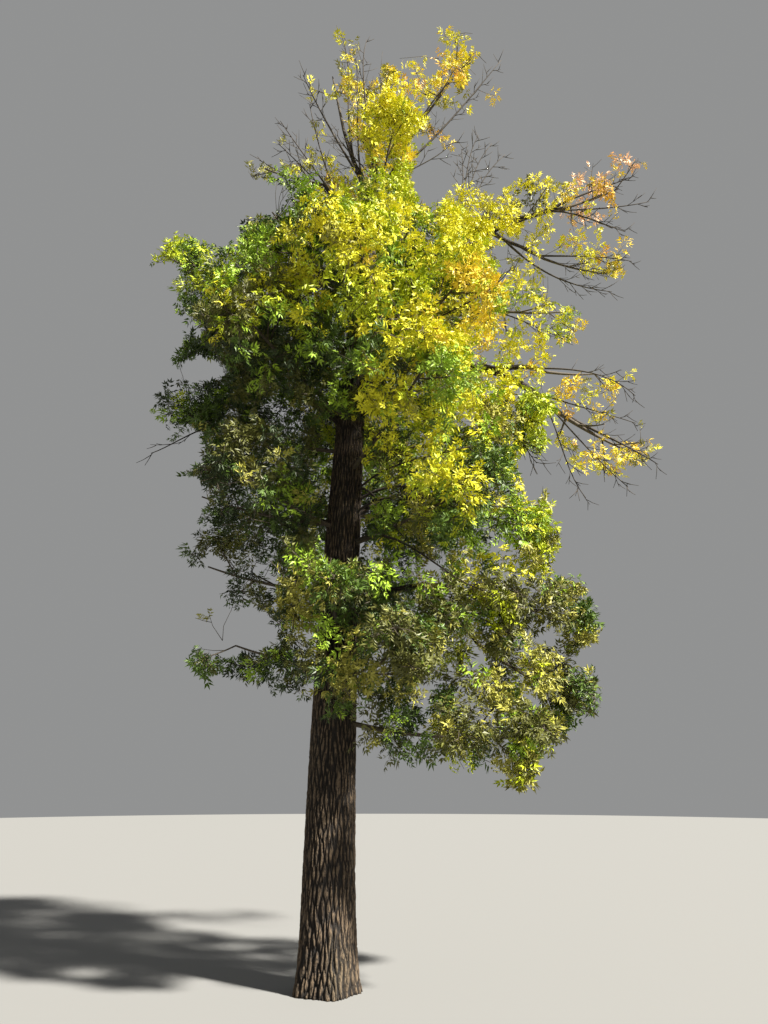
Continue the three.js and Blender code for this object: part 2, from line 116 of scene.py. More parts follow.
# on: the bough that this one leaves, or none for the trunk; at: the share of its parent's length where it
# leaves; turn: degrees from +X towards +Y; reach, rise: its tip from there; arch: how high its middle
# bows; leafy: the share from which it carries leafy shoots of its own.
BOUGHS = {
    "leader_left": dict(at=0.955, turn=178, reach=420, rise=1390, arch=-60, radius=42, tip=22),
    "leader_right": dict(at=0.97, turn=2, reach=620, rise=1340, arch=-80, radius=42, tip=22),
    "left_top": dict(at=0.875, turn=175, reach=610, rise=1230, arch=40, radius=40, tip=20),
    "left_upper": dict(at=0.71, turn=180, reach=970, rise=960, arch=60, radius=52, tip=24),
    "far_left": dict(at=0.65, turn=186, reach=1370, rise=1150, arch=90, radius=58, tip=26),
    "left_mid": dict(at=0.608, turn=174, reach=1000, rise=700, arch=60, radius=48, tip=24),
    "broken": dict(at=0.634, turn=-25, reach=440, rise=-110, arch=30, radius=60, tip=48),
    "right_upper": dict(at=0.815, turn=4, reach=2700, rise=1500, arch=70, radius=68, tip=22, leafy=0.22),
    "right_side": dict(on="right_upper", at=0.27, turn=-16, reach=480, rise=560, radius=30, tip=20),
    "right_fork": dict(on="right_upper", at=0.64, turn=22, reach=840, rise=-200, radius=26, tip=18),
    "right_second": dict(at=0.735, turn=8, reach=1730, rise=680, arch=150, radius=50, tip=22),
    "right_great": dict(at=0.67, turn=15, reach=2710, rise=80, arch=500, radius=98, tip=36, leafy=0.62),
    "great_fork": dict(on="right_great", at=0.68, turn=4, reach=700, rise=10, arch=60, radius=38, tip=22),
    "right_bulge": dict(at=0.485, turn=-4, reach=1150, rise=260, arch=190, radius=40, tip=22),
    "right_low": dict(at=0.375, turn=2, reach=1680, rise=190, arch=230, radius=44, tip=22),
    "right_drop": dict(on="right_low", at=0.62, turn=-14, reach=500, rise=-680, radius=28, tip=20),
}
print("boughs:", len(BOUGHS))

# %% [markdown]
# An ash's crown is no single ball of leaves. It is some dozens of clouds with air between them, each on a
# bough's tip or on a stem of its own. Each row is one such cloud: a straight stem, and an egg-shaped
# space round its outer part. Leaves could be strewn along every limb instead, but then no cloud would
# keep its own outline and its own tint.

# %% Masses of foliage
# on: the bough whose tip the stem carries on, or none for the trunk; at: the share of the trunk's height
# where it leaves; turn: degrees from +X towards +Y; tilt: degrees above level; bare: the stem's length
# before the leaves; long, wide: the space that the leaves keep to; tint: its mix of autumn tints, some of
# them darkened or paled as painted light and shade.
MASSES = {
    "top_left": dict(on="leader_left", turn=170, tilt=80, long=1750, wide=850, tint="gold"),
    "top_mid": dict(turn=60, tilt=86, bare=750, long=1750, wide=850, tint="gold"),
    "top_right": dict(on="leader_right", turn=0, tilt=60, long=1850, wide=1300, tint="gold"),
    "neck_front": dict(at=0.93, turn=-62, tilt=58, bare=220, long=1500, wide=1150, tint="turning"),
    "neck_back": dict(at=0.94, turn=105, tilt=60, bare=260, long=1500, wide=1200, tint="gold"),
    "left_top": dict(on="left_top", turn=178, tilt=20, long=1150, wide=950, tint="russet"),
    "crown_left": dict(at=0.77, turn=-138, tilt=33, bare=590, long=1500, wide=1450, tint="leafy"),
    "left_upper": dict(on="left_upper", turn=178, tilt=66, long=1400, wide=1150, tint="green"),
    "far_left": dict(on="far_left", turn=184, tilt=46, long=1550, wide=1250, tint="fresh"),
    "left_mid": dict(on="left_mid", turn=178, tilt=30, long=1300, wide=1250, tint="green"),
    "left_dark": dict(at=0.578, turn=174, tilt=16, bare=700, long=1600, wide=1250, tint="deep"),
    "left_inner": dict(at=0.483, turn=174, tilt=14, bare=660, long=1500, wide=1150, tint="olive"),
    "left_low": dict(at=0.4, turn=178, tilt=12, bare=540, long=1300, wide=1150, tint="deep"),
    "left_foot": dict(at=0.313, turn=-162, tilt=12, bare=350, long=1350, wide=1100, tint="olive"),
    "crown_right": dict(at=0.762, turn=-54, tilt=38, bare=480, long=1550, wide=1450, tint="lime"),
    "front_high": dict(at=0.714, turn=-93, tilt=18, bare=570, long=1600, wide=1550, tint="lime"),
    "front_left": dict(at=0.62, turn=-131, tilt=22, bare=780, long=1600, wide=1450, tint="olive"),
    "front_right": dict(at=0.672, turn=-42, tilt=24, bare=750, long=1600, wide=1450, tint="yellow"),
    "front_mid": dict(at=0.548, turn=-60, tilt=20, bare=760, long=1600, wide=1350, tint="lime"),
    "left_front": dict(at=0.476, turn=-142, tilt=16, bare=470, long=1500, wide=1300, tint="olive"),
    "mid_front": dict(at=0.36, turn=-91, tilt=14, bare=330, long=1300, wide=1150, tint="olive"),
    "low_front": dict(at=0.288, turn=-62, tilt=12, bare=570, long=1300, wide=1050, tint="straw"),
    "right_shoulder": dict(at=0.77, turn=-7, tilt=34, bare=620, long=1500, wide=1200, tint="yellow"),
    "right_under": dict(at=0.575, turn=6, tilt=15, bare=1000, long=1750, wide=1200, tint="lime"),
    "right_mid": dict(at=0.455, turn=-28, tilt=18, bare=860, long=1500, wide=1350, tint="mellow"),
    "right_bulge": dict(on="right_bulge", turn=4, tilt=-16, long=1500, wide=1250, tint="mellow"),
    "right_low": dict(on="right_low", turn=2, tilt=-10, long=1450, wide=1050, tint="low"),
    "low_inner": dict(at=0.345, turn=-20, tilt=8, bare=650, long=1600, wide=1100, tint="low"),
    "low_drop": dict(on="right_drop", turn=6, tilt=-30, long=1450, wide=1050, tint="low"),
    "low_drape": dict(at=0.259, turn=-21, tilt=-6, bare=780, long=1650, wide=1150, tint="low"),
    "right_behind": dict(at=0.497, turn=48, tilt=18, bare=680, long=1500, wide=1350, tint="green"),
    "upper_over": dict(on="right_side", turn=4, tilt=16, long=1800, wide=1100, tint="russet"),
    "upper_tip": dict(on="right_upper", turn=4, tilt=26, long=1600, wide=1000, tint="blush"),
    "fork_tip": dict(on="right_fork", turn=10, tilt=-8, long=1200, wide=850, tint="gold"),
    "second_tip": dict(on="right_second", turn=8, tilt=4, long=1500, wide=1150, tint="yellow"),
    "great_fork": dict(on="great_fork", turn=8, tilt=4, long=1250, wide=850, tint="gold"),
    "great_tip": dict(on="right_great", turn=16, tilt=-24, long=1600, wide=1050, tint="gold"),
    "back_top": dict(at=0.83, turn=87, tilt=40, bare=530, long=1550, wide=1450, tint="lime"),
    "back_left": dict(at=0.72, turn=134, tilt=26, bare=1070, long=1600, wide=1500, tint="green"),
    "back_right": dict(at=0.702, turn=53, tilt=26, bare=1010, long=1600, wide=1500, tint="yellow"),
    "back_mid": dict(at=0.61, turn=92, tilt=20, bare=900, long=1600, wide=1500, tint="lime"),
    "back_low_left": dict(at=0.492, turn=130, tilt=16, bare=760, long=1600, wide=1400, tint="green"),
    "back_low": dict(at=0.392, turn=81, tilt=12, bare=650, long=1600, wide=1300, tint="olive"),
}
print("masses:", len(MASSES))

# %% [markdown]
# ## Lines
#
# Every limb is a line with a radius. The trunk leans more and more with height. A bough runs straight to
# its tip, plus an arch and a slight sideways crook. A stem of a mass is straight. Each line is a function
# from shares of its length, 0 to 1, to points, and works on a whole array of shares at once.

# %% Directions and lines
UP = np.array([0.0, 0.0, 1.0])
AWAY = np.array([0.0, 1.0, 0.0])
TINY = 1e-12


def unit(vectors):
    """Vectors divided by their lengths, along the last axis."""
    vectors = np.asarray(vectors, float)
    return vectors / np.maximum(np.linalg.norm(vectors, axis=-1, keepdims=True), TINY)


def heading(turn, tilt):
    """The direction of a turn from +X towards +Y and a tilt above level, in degrees."""
    turn, tilt = np.radians(turn), np.radians(tilt)
    return np.array([np.cos(tilt) * np.cos(turn), np.cos(tilt) * np.sin(turn), np.sin(tilt)])


def blend(start, towards, angle):
    """The direction at an angle from one direction towards another at right angles to it."""
    return start * np.cos(angle) + towards * np.sin(angle)


def trunk_line(share):
    """Height times share, leaning to +X by a power of the height."""
    height = np.asarray(share, float)[..., None] * TRUNK_HEIGHT
    lean = TRUNK_LEAN * (height / LEAN_HEIGHT) ** LEAN_POWER
    return np.concatenate([lean, np.zeros_like(lean), height], axis=-1)


def limb_line(start, along, turn, arch):
    """start + along x share, raised by 4 arch share (1 - share) and swung aside by one slow wave."""
    swing = heading(turn + 90, 0) * CROOK * np.linalg.norm(along)

    def line(share):
        share = np.asarray(share, float)[..., None]
        bow = UP * 4 * arch * share * (1 - share)
        return start + along * share + bow + swing * np.sin(2 * np.pi * share)

    return line


def straight_line(start, run):
    """start + run x share."""

    def line(share):
        return start + run * np.asarray(share, float)[..., None]

    return line


def trunk_radius(share, angle=0.0):
    """A power taper, a flare at the foot, and lobes for the buttresses that die out upwards."""
    height = np.asarray(share, float) * TRUNK_HEIGHT
    shaft = TRUNK_RADIUS * (1 - height / TRUNK_POINT) ** TRUNK_TAPER
    foot = FLARE * np.exp(-height / FLARE_HEIGHT)
    lobe = BUTTRESS_DEPTH * np.exp(-height / BUTTRESS_HEIGHT) * np.cos(BUTTRESSES * angle)
    return (shaft + foot) * (1 + lobe)


print("trunk top at", np.round(trunk_line(1.0), 3), "radius", round(float(trunk_radius(1.0)), 3))

# %% [markdown]
# ## Limbs
#
# One small class holds what the growing rule needs to know of a limb: its line, its radius, and a row of
# capsules along it that leaves have to stay clear of. Stems of foliage are limbs too, so that one mass's
# leaves don't grow through another's stem.

# %% Limbs
LIMB_STEPS = 12
STEM_TIP_RADIUS = 9 * MM
STEM_ROOT_RADIUS = 20 * MM
STEM_STOUTNESS = 0.012
STEM_SHARE = 0.78
SPRAY_REACH = 520 * MM
SPRAY_SHARE = 0.42


class Limb:
    """A limb of the tree, with its line and radius as functions of the share of its length."""

    def __init__(self, name, line, turn, radius_at):
        self.name = name
        self.line = line
        self.sideways = heading(turn + 90, 0)
        self.radius_at = radius_at
        shares = np.linspace(0, 1, LIMB_STEPS + 1)
        self.points = line(shares)
        self.radii = radius_at(shares)


def tapering(root, tip, collar=0.0, length=1.0):
    """root + (tip - root) x share, and a collar: root x collar x e^(-distance / collar's length)."""

    def radius_at(share):
        return root + (tip - root) * share + root * collar * np.exp(-share * length / COLLAR_LENGTH)

    return radius_at


limbs = {"trunk": Limb("trunk", trunk_line, 0, trunk_radius)}


def parent_of(size):
    """The limb that a row's own limb leaves: the bough it names, or else the trunk."""
    return limbs["bough_" + size["on"] if "on" in size else "trunk"]


for name, size in BOUGHS.items():
    start = parent_of(size).line(size["at"])
    along = heading(size["turn"], 0) * size["reach"] * MM + UP * size["rise"] * MM
    line = limb_line(start, along, size["turn"], size.get("arch", 0) * MM)
    radius_at = tapering(size["radius"] * MM, size["tip"] * MM, COLLAR, np.linalg.norm(along))
    limbs["bough_" + name] = Limb("bough_" + name, line, size["turn"], radius_at)

stems = []
for name, size in MASSES.items():
    parent = parent_of(size)
    start = parent.line(size.get("at", 1.0))
    ahead = heading(size["turn"], size["tilt"])
    bare, long, wide = size.get("bare", 0) * MM, size["long"] * MM, size["wide"] * MM
    length = bare + STEM_SHARE * long
    root = float(parent.radius_at(1.0)) if "on" in size else STEM_ROOT_RADIUS + STEM_STOUTNESS * bare
    line = straight_line(start, ahead * length)
    stem = Limb("foliage_" + name, line, size["turn"], tapering(root, STEM_TIP_RADIUS))
    stem.ahead, stem.length, stem.bare, stem.long, stem.wide = ahead, length, bare, long, wide
    stem.reach = min(SPRAY_REACH, SPRAY_SHARE * wide)
    stem.centre = start + ahead * (bare + long / 2)
    stem.tint = size["tint"]
    limbs[stem.name] = stem
    stems.append(stem)
print("limbs:", len(limbs), "of which stems of foliage:", len(stems))

# %% [markdown]
# ## The growing rule
#
# Real twigs share out the light: none grows where a neighbour's leaves already are. The rule copies that.
# Each mass keeps to an egg-shaped space, cut by flat walls between it and its neighbours. Twigs leave its
# stem round and round at the golden angle, long and wide low down and short near the tip, and end just
# inside the space. At each twig's end sits a spray of five shoots that reach as far as the walls and
# limbs let them. It is the source's rule, with the same seeds, so the fine shoots below end where the
# solids do.

# %% Spaces, walls and clearances
SPACE_MARGIN = 13 * MM
LEAF_MARGIN = 60 * MM
FINE_STEP = 1 * MM

capsule_ends = np.concatenate([limb.points[1:] for limb in limbs.values()])
capsule_starts = np.concatenate([limb.points[:-1] for limb in limbs.values()])
capsule_radii = np.concatenate([limb.radii[:-1] for limb in limbs.values()])
capsule_owner = np.repeat(np.arange(len(limbs)), LIMB_STEPS)
limb_number = {name: number for number, name in enumerate(limbs)}


def space_radius(stem, direction):
    """How far a mass's space reaches from its centre in a direction: the radius of a spheroid."""
    along = (direction @ stem.ahead) ** 2
    return 1 / np.sqrt(along / (stem.long / 2) ** 2 + (1 - along) / (stem.wide / 2) ** 2)


def walls_of(stem):
    """Flat walls between a mass and the others, as rows of a normal and the distance along it."""
    others = [other for other in stems if other is not stem]
    walls = []
    for other in others:
        apart = other.centre - stem.centre
        distance = np.linalg.norm(apart)
        direction = apart / distance
        mine, theirs = space_radius(stem, direction), space_radius(other, direction)
        wall = stem.centre + direction * distance * mine / (mine + theirs)
        walls.append([*direction, direction @ wall])
    return np.array(walls)


def inside_space(stem, walls, point):
    """Whether a point is inside the mass's spheroid and on its own side of every wall."""
    away = point - stem.centre
    distance = np.linalg.norm(away)
    if distance > FINE_STEP and distance > space_radius(stem, away / distance):
        return False
    return bool(np.all(walls[:, :3] @ point - walls[:, 3] < -SPACE_MARGIN))


def clear_of_limbs(stem, points, margin):
    """Whether balls of this radius round the points stay clear of every limb but the mass's own stem."""
    foreign = capsule_owner != limb_number[stem.name]
    starts, ends = capsule_starts[foreign], capsule_ends[foreign]
    run = ends - starts
    away = points[:, None] - starts
    share = np.clip(np.sum(away * run, axis=-1) / np.sum(run * run, axis=-1), 0, 1)
    gap = np.linalg.norm(away - share[..., None] * run, axis=-1) - capsule_radii[foreign]
    return np.all(gap >= margin, axis=1)


def reach_from(stem, walls, start, direction, wanted, margin):
    """How far a straight line can run inside the space and clear of the limbs, up to a length."""
    near, far = 0.0, wanted
    if inside_space(stem, walls, start + direction * wanted):
        near = wanted
    while far - near > FINE_STEP:
        middle = (near + far) / 2
        if inside_space(stem, walls, start + direction * middle):
            near = middle
        else:
            far = middle
    steps = np.arange(LEAF_MARGIN, near + LEAF_MARGIN, LEAF_MARGIN)
    if len(steps) == 0:
        return near
    spots = start + direction * np.minimum(steps, near)[:, None]
    blocked = np.flatnonzero(~clear_of_limbs(stem, spots, margin))
    return float(steps[blocked[0]] - LEAF_MARGIN) if len(blocked) else near


print("capsules that leaves stay clear of:", len(capsule_radii))

# %% [markdown]
# A real twig ends in a bunch of leafy shoots that spread like fingers. The rule plans one twig at a time:
# where it leaves its stem, how far it can run, how its spray has to be turned to find room, and how long
# each of the five shoots may be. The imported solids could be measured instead, but their shoots are
# stand-ins, and the rule tells which shoot belongs to which twig.

# %% Twigs and sprays
FIRST_TWIG = 0.08
TWIG_SPACING = 0.645
TWIG_THICKNESS = 0.7
TWIG_TIP_RADIUS = 6 * MM
TWIG_REACH = 0.82
TWIG_SHORTEST = 110 * MM
TWIG_SPREAD = 74
TWIG_SPREAD_END = 34
TWIG_STRAY = 40
GOLDEN_TURN = 137.5
SPRAY_LEAVES = 5
SPRAY_DROOP = 14
LEAST_DROOP = 0.5
LEAST_LEAF = 0.8
LEAF_VARIES = 0.4
SPRAY_OFFSET = 38 * MM
SPRAY_SEAT = 14 * MM
SPRAY_UPWARD = 0.3
LEAF_SHORTEST = 0.4
LEAF_STUB = 60 * MM
DRAW_FACTOR = 1664525
DRAW_STEP = 1013904223
DRAW_RANGE = 2**32


def seeded(seed):
    """Numbers from 0 to 1, the same on each run: state x factor + step, over the range that it wraps at."""
    state = seed
    while True:
        state = (state * DRAW_FACTOR + DRAW_STEP) % DRAW_RANGE
        yield state / DRAW_RANGE


def plan_twig(stem, walls, index, count, random):
    """A twig: where it leaves the stem, its way, its side and its end."""
    share = (index + 0.5) / count
    along = stem.bare + (FIRST_TWIG + share * (STEM_SHARE - FIRST_TWIG)) * stem.long
    root = stem.line(along / stem.length)
    around = np.radians(GOLDEN_TURN * index + TWIG_STRAY * next(random))
    spread = np.radians(TWIG_SPREAD + (TWIG_SPREAD_END - TWIG_SPREAD) * share)
    upper = np.cross(stem.sideways, stem.ahead)
    outward = blend(stem.sideways, upper, around)
    way = blend(stem.ahead, outward, spread)
    room = reach_from(stem, walls, root, way, stem.long, LEAF_MARGIN / 2)
    end = root + way * TWIG_REACH * room
    radius = TWIG_THICKNESS * float(stem.radius_at(along / stem.length))
    side = unit(np.cross(way, outward))
    return dict(root=root, way=way, side=side, end=end, radius=radius, length=TWIG_REACH * room)


def spray_way(twig, corner, droop):
    """The way from a spray's middle to a corner, even for a shoot's tip, drooped below its own plane."""
    out = blend(twig["right"], twig["front"], corner * np.pi / SPRAY_LEAVES)
    return blend(out, twig["up"], -droop)


def seat_spray(twig, turned):
    """Sets a spray's upright and its first shoot, turned on by so many shoots, and then its middle."""
    twig["up"] = unit(twig["way"] + UP * SPRAY_UPWARD)
    right = unit(twig["side"] - twig["up"] * (twig["side"] @ twig["up"]))
    ahead = np.cross(twig["up"], right)
    twig["right"] = blend(right, ahead, turned * 2 * np.pi / SPRAY_LEAVES)
    twig["front"] = np.cross(twig["up"], twig["right"])
    middle = twig["end"] - spray_way(twig, 0.5, 0) * SPRAY_OFFSET
    twig["middle"] = middle + twig["up"] * SPRAY_SEAT


def plan_spray(stem, walls, twig, random):
    """The way and length of each shoot of a spray, or none where the spray has no room."""
    wanted = []
    for _ in range(SPRAY_LEAVES):
        droop = np.radians(SPRAY_DROOP * (LEAST_DROOP + next(random)))
        wanted.append((droop, stem.reach * (LEAST_LEAF + LEAF_VARIES * next(random))))
    for turned in range(SPRAY_LEAVES):
        seat_spray(twig, turned)
        middle = twig["middle"]
        if not inside_space(stem, walls, middle) or not clear_of_limbs(stem, middle[None], LEAF_MARGIN)[0]:
            continue
        shoots = []
        for leaf, (droop, length) in enumerate(wanted):
            way = spray_way(twig, 2 * leaf, droop)
            shoots.append((way, reach_from(stem, walls, middle, way, length, LEAF_MARGIN)))
        carried = min(shoots[0][1], shoots[1][1])
        if min(length for _, length in shoots) > LEAF_STUB and carried > LEAF_SHORTEST * stem.reach:
            return shoots
    return None


def grow(stem, seed):
    """The twigs of one mass, each with the shoots of its spray. The last is the stem's own tip."""
    walls = walls_of(stem)
    random = seeded(seed)
    count = int(np.floor(stem.long / (TWIG_SPACING * stem.reach) + 0.5))
    twigs = [plan_twig(stem, walls, index, count, random) for index in range(count)]
    tip = stem.line(1.0)
    twigs.append(dict(way=stem.ahead, side=stem.sideways, end=tip, length=TWIG_SHORTEST, root=None))
    twigs = [twig for twig in twigs if twig["length"] >= TWIG_SHORTEST]
    for twig in twigs:
        own = list(walls)
        for other in twigs:
            if other is not twig:
                apart = unit(other["end"] - twig["end"])
                own.append(np.array([*apart, apart @ (twig["end"] + other["end"]) / 2]))
        twig["shoots"] = plan_spray(stem, np.array(own), twig, random)
    return [twig for twig in twigs if twig["shoots"]]


for seed, stem in enumerate(stems, start=1):
    stem.twigs = grow(stem, seed)
print("twigs with sprays:", sum(len(stem.twigs) for stem in stems))

# %% [markdown]
# ## From arrays to meshes
#
# Blender can add vertices one at a time, but a crown has a million of them. So every shape here is worked
# out as whole numpy arrays, and one helper hands the finished arrays to Blender in a few calls. Faces are
# rows of vertex numbers. A tube is rings of points round a path, and its helper makes a whole stack of
# tubes at once, each closed by a flat cap at both ends.

# %% Meshes from arrays


def new_piece(name, points, faces, smooth=True, values=None):
    """A mesh object at the origin from points (n, 3), arrays of faces (m, corners) and values at points."""
    mesh = bpy.data.meshes.new(name)
    corners = np.concatenate([rows.ravel() for rows in faces])
    sizes = np.concatenate([np.full(len(rows), rows.shape[1]) for rows in faces])
    mesh.vertices.add(len(points))
    mesh.vertices.foreach_set("co", np.asarray(points, np.float32).ravel())
    mesh.loops.add(len(corners))
    mesh.loops.foreach_set("vertex_index", corners.astype(np.int32))
    mesh.polygons.add(len(sizes))
    mesh.polygons.foreach_set("loop_start", (np.cumsum(sizes) - sizes).astype(np.int32))
    mesh.polygons.foreach_set("use_smooth", np.full(len(sizes), smooth))
    for value_name, numbers in (values or {}).items():
        attribute = mesh.attributes.new(value_name, "FLOAT", "POINT")
        attribute.data.foreach_set("value", np.asarray(numbers, np.float32).ravel())
    mesh.update(calc_edges=True)
    piece = bpy.data.objects.new(name, mesh)
    bpy.context.scene.collection.objects.link(piece)
    print(f"{name}: {int(np.sum(sizes - 2)):,} triangles")
    return piece


def ring_faces(rings, sides):
    """Quads between neighbouring rings of points, and a cap at each end, wound to face outwards."""
    ring, spot = np.meshgrid(np.arange(rings - 1), np.arange(sides), indexing="ij")
    after = (spot + 1) % sides
    quads = np.stack([ring * sides + spot, ring * sides + after], axis=-1)
    quads = np.concatenate([quads, quads[..., ::-1] + sides], axis=-1).reshape(-1, 4)
    first = np.arange(sides)[None, ::-1]
    last = np.arange(sides)[None] + (rings - 1) * sides
    return quads, np.concatenate([first, last])


def across_and_over(paths, sideways):
    """Two directions at right angles to each path and to each other, the first nearest to sideways."""
    tangents = unit(np.gradient(paths, axis=-2))
    across = unit(sideways - tangents * np.sum(tangents * sideways, axis=-1, keepdims=True))
    return across, np.cross(tangents, across)


def tubes(paths, radii, sideways, sides):
    """A tube round each path: point + radius (across cos angle + over sin angle). Points and faces."""
    count, rings = paths.shape[:2]
    across, over = across_and_over(paths, sideways[:, None])
    angles = np.linspace(0, 2 * np.pi, sides, endpoint=False)[:, None]
    out = across[:, :, None] * np.cos(angles) + over[:, :, None] * np.sin(angles)
    points = paths[:, :, None] + radii[:, :, None, None] * out
    starts = np.arange(count)[:, None, None] * rings * sides
    quads, caps = ring_faces(rings, sides)
    quads, caps = (quads + starts).reshape(-1, 4), (caps + starts).reshape(-1, sides)
    return points.reshape(-1, 3), [quads, caps]


# %% [markdown]
# ## Shader maths
#
# A material is a small program. Written node by node it is hard to read, so one class wraps a socket and
# lets numbers be added and multiplied as in ordinary Python: each sign adds a Math node. Any other node
# comes from one method, which sets its settings first and then its sockets.

# %% Number and Finish classes
# The sockets of a mix of colours by their numbers, because several of them share a name.
MIX_FACTOR, MIX_FIRST, MIX_SECOND, MIX_COLOUR = 0, 6, 7, 2


class Number:
    """A number that changes over a surface: it wraps a socket, and + - * add Math nodes."""

    def __init__(self, finish, socket):
        self.finish, self.socket = finish, socket

    def join(self, operation, first, second):
        node = self.finish.node("ShaderNodeMath", dict(operation=operation), {0: first, 1: second})
        return Number(self.finish, node.outputs[0])

    def __add__(self, other):
        return self.join("ADD", self, other)

    def __radd__(self, other):
        return self.join("ADD", other, self)

    def __sub__(self, other):
        return self.join("SUBTRACT", self, other)

    def __rsub__(self, other):
        return self.join("SUBTRACT", other, self)

    def __mul__(self, other):
        return self.join("MULTIPLY", self, other)

    def __rmul__(self, other):
        return self.join("MULTIPLY", other, self)


def linear(code):
    """A colour written as six hex digits, as a screen shows it, in the linear numbers that shaders use.

    Each part c, from 0 to 1, becomes ((c + 0.055) / 1.055) to the power 2.4, or c / 12.92 up to 0.04045.
    """
    shown = np.array([int(code[i : i + 2], 16) for i in (0, 2, 4)]) / 255
    return (*np.where(shown <= 0.04045, shown / 12.92, ((shown + 0.055) / 1.055) ** 2.4), 1.0)


class Finish:
    """A material under construction: its shader, and one way to add any other node."""

    def __init__(self, name, roughness):
        self.material = bpy.data.materials.new(name)
        self.material.use_nodes = True
        self.tree = self.material.node_tree
        self.shader = self.tree.nodes["Principled BSDF"]
        self.shader.inputs["Roughness"].default_value = roughness
        self.coordinates = self.node("ShaderNodeTexCoord").outputs["Object"]

    def node(self, kind, settings=None, sockets=None):
        """A node of this type, with its settings made first and its sockets set or linked after."""
        node = self.tree.nodes.new(kind)
        for key, value in (settings or {}).items():
            setattr(node, key, value)
        for key, value in (sockets or {}).items():
            self.feed(node.inputs[key], value)
        return node

    def feed(self, socket, value):
        """Links a number or a socket, or sets a plain value."""
        if isinstance(value, Number):
            value = value.socket
        if isinstance(value, bpy.types.NodeSocket):
            self.tree.links.new(value, socket)
        else:
            socket.default_value = value

    def noise(self, size, detail, stretch=(1, 1, 1)):
        """Noise from 0 to 1 whose blobs are about size across, in metres, drawn out by stretch."""
        scale = [1 / size / factor for factor in stretch]
        placed = self.node("ShaderNodeMapping", None, {"Vector": self.coordinates, "Scale": scale})
        sockets = {"Vector": placed.outputs[0], "Scale": 1.0, "Detail": detail}
        return Number(self, self.node("ShaderNodeTexNoise", None, sockets).outputs[0])

    def stored(self, name):
        """A value kept at the mesh's own points."""
        node = self.node("ShaderNodeAttribute", dict(attribute_name=name))
        return Number(self, node.outputs["Fac"])

    def ramp(self, number, stops):
        """A colour from a number, through colours at places from 0 to 1."""
        node = self.node("ShaderNodeValToRGB", None, {"Fac": number})
        elements = node.color_ramp.elements
        while len(elements) < len(stops):
            elements.new(0.5)
        for element, (place, code) in zip(elements, stops):
            element.position, element.color = place, linear(code)
        return node.outputs[0]

    def between(self, number, first, second):
        """A mix of two colours by a number: 0 gives the first and 1 the second."""
        sockets = {MIX_FACTOR: number, MIX_FIRST: first, MIX_SECOND: second}
        return self.node("ShaderNodeMix", dict(data_type="RGBA"), sockets).outputs[MIX_COLOUR]

    def clamped(self, number):
        """The number, held between 0 and 1."""
        return Number(self, self.node("ShaderNodeClamp", None, {"Value": number}).outputs[0])

    def bump(self, height, distance, strength):
        """Raises the surface by a height times a distance, in shading alone."""
        sockets = {"Height": height, "Distance": distance, "Strength": strength}
        self.feed(self.shader.inputs["Normal"], self.node("ShaderNodeBump", None, sockets).outputs[0])


print("shader helpers ready")

# %% [markdown]
# ## Bark
#
# Old ash bark is a net. Narrow furrows climb the trunk on two slants, cross, and leave long pointed
# ridges between them, about 5 cm apart and a hand or two long. The furrows are 2 cm deep, so they are
# real relief in the mesh, and only the cracks and grain of the cork are left to the material. Each family
# of furrows is a set of evenly slanted lines that slow noise bends, so that no two ridges are alike, and
# another slow noise closes some furrows for a stretch.

# %% Relief of the bark
NET_SEED = 7
NET_SIDE = 64
NET_HEIGHT = 0.34
NET_BEND = 0.9
BEND_PACE = 1.3
FINE_BEND = 0.45
FINE_PACE = 4
FURROW_HALF = 0.32
FURROW_CLOSES = 0.75
CLOSING_PACE = 2
CLOSING_SEED = 5
RISING_SEED = 3.0
FALLING_SEED = 11.0

net_numbers = np.random.default_rng(NET_SEED).random((NET_SIDE, NET_SIDE))


def smooth_step(x):
    """0 below 0, 1 above 1, and 3x^2 - 2x^3 between."""
    x = np.clip(x, 0, 1)
    return x * x * (3 - 2 * x)


def smooth_noise(x, y, wrap):
    """Value noise: random grid numbers blended by smooth steps. It repeats after wrap steps of x."""
    column, row = np.floor(x).astype(int), np.floor(y).astype(int)
    s, t = smooth_step(x - column), smooth_step(y - row)
    left, right = column % wrap % NET_SIDE, (column + 1) % wrap % NET_SIDE
    low, high = row % NET_SIDE, (row + 1) % NET_SIDE
    below = net_numbers[left, low] * (1 - s) + net_numbers[right, low] * s
    above = net_numbers[left, high] * (1 - s) + net_numbers[right, high] * s
    return below * (1 - t) + above * t


def furrows(turns, height, lines, slant, seed):
    """Relief of one family of furrows that climb one way, so many round the limb: 0 in one and 1 beside it.

    A furrow runs where turns x lines + slant x height / net height + bends is a whole number and a half.
    """
    bend = smooth_noise(turns * lines, height / NET_HEIGHT * BEND_PACE + seed, lines) - 0.5
    finer = smooth_noise(turns * lines * 2, height / NET_HEIGHT * FINE_PACE + seed, lines * 2) - 0.5
    step = turns * lines + slant * height / NET_HEIGHT + NET_BEND * bend + FINE_BEND * finer
    from_line = np.abs(step - np.floor(step) - 0.5)
    closing_height = height / NET_HEIGHT * CLOSING_PACE + CLOSING_SEED * seed
    closing = smooth_noise(turns * lines + 0.5, closing_height, lines)
    half = FURROW_HALF * (1 - FURROW_CLOSES * smooth_step(2 * closing - 1))
    return smooth_step(from_line / half)


def ridge_net(turns, height, ridges):
    """Relief of the bark, 0 in a furrow and 1 on a ridge, at a share of a turn and a height."""
    lines = ridges // 2
    rising = furrows(turns, height, lines, 1.0, RISING_SEED)
    falling = furrows(turns, height, lines, -1.0, FALLING_SEED)
    return np.minimum(rising, falling)


print("bark net ready: a ridge is up to", NET_HEIGHT, "m long")

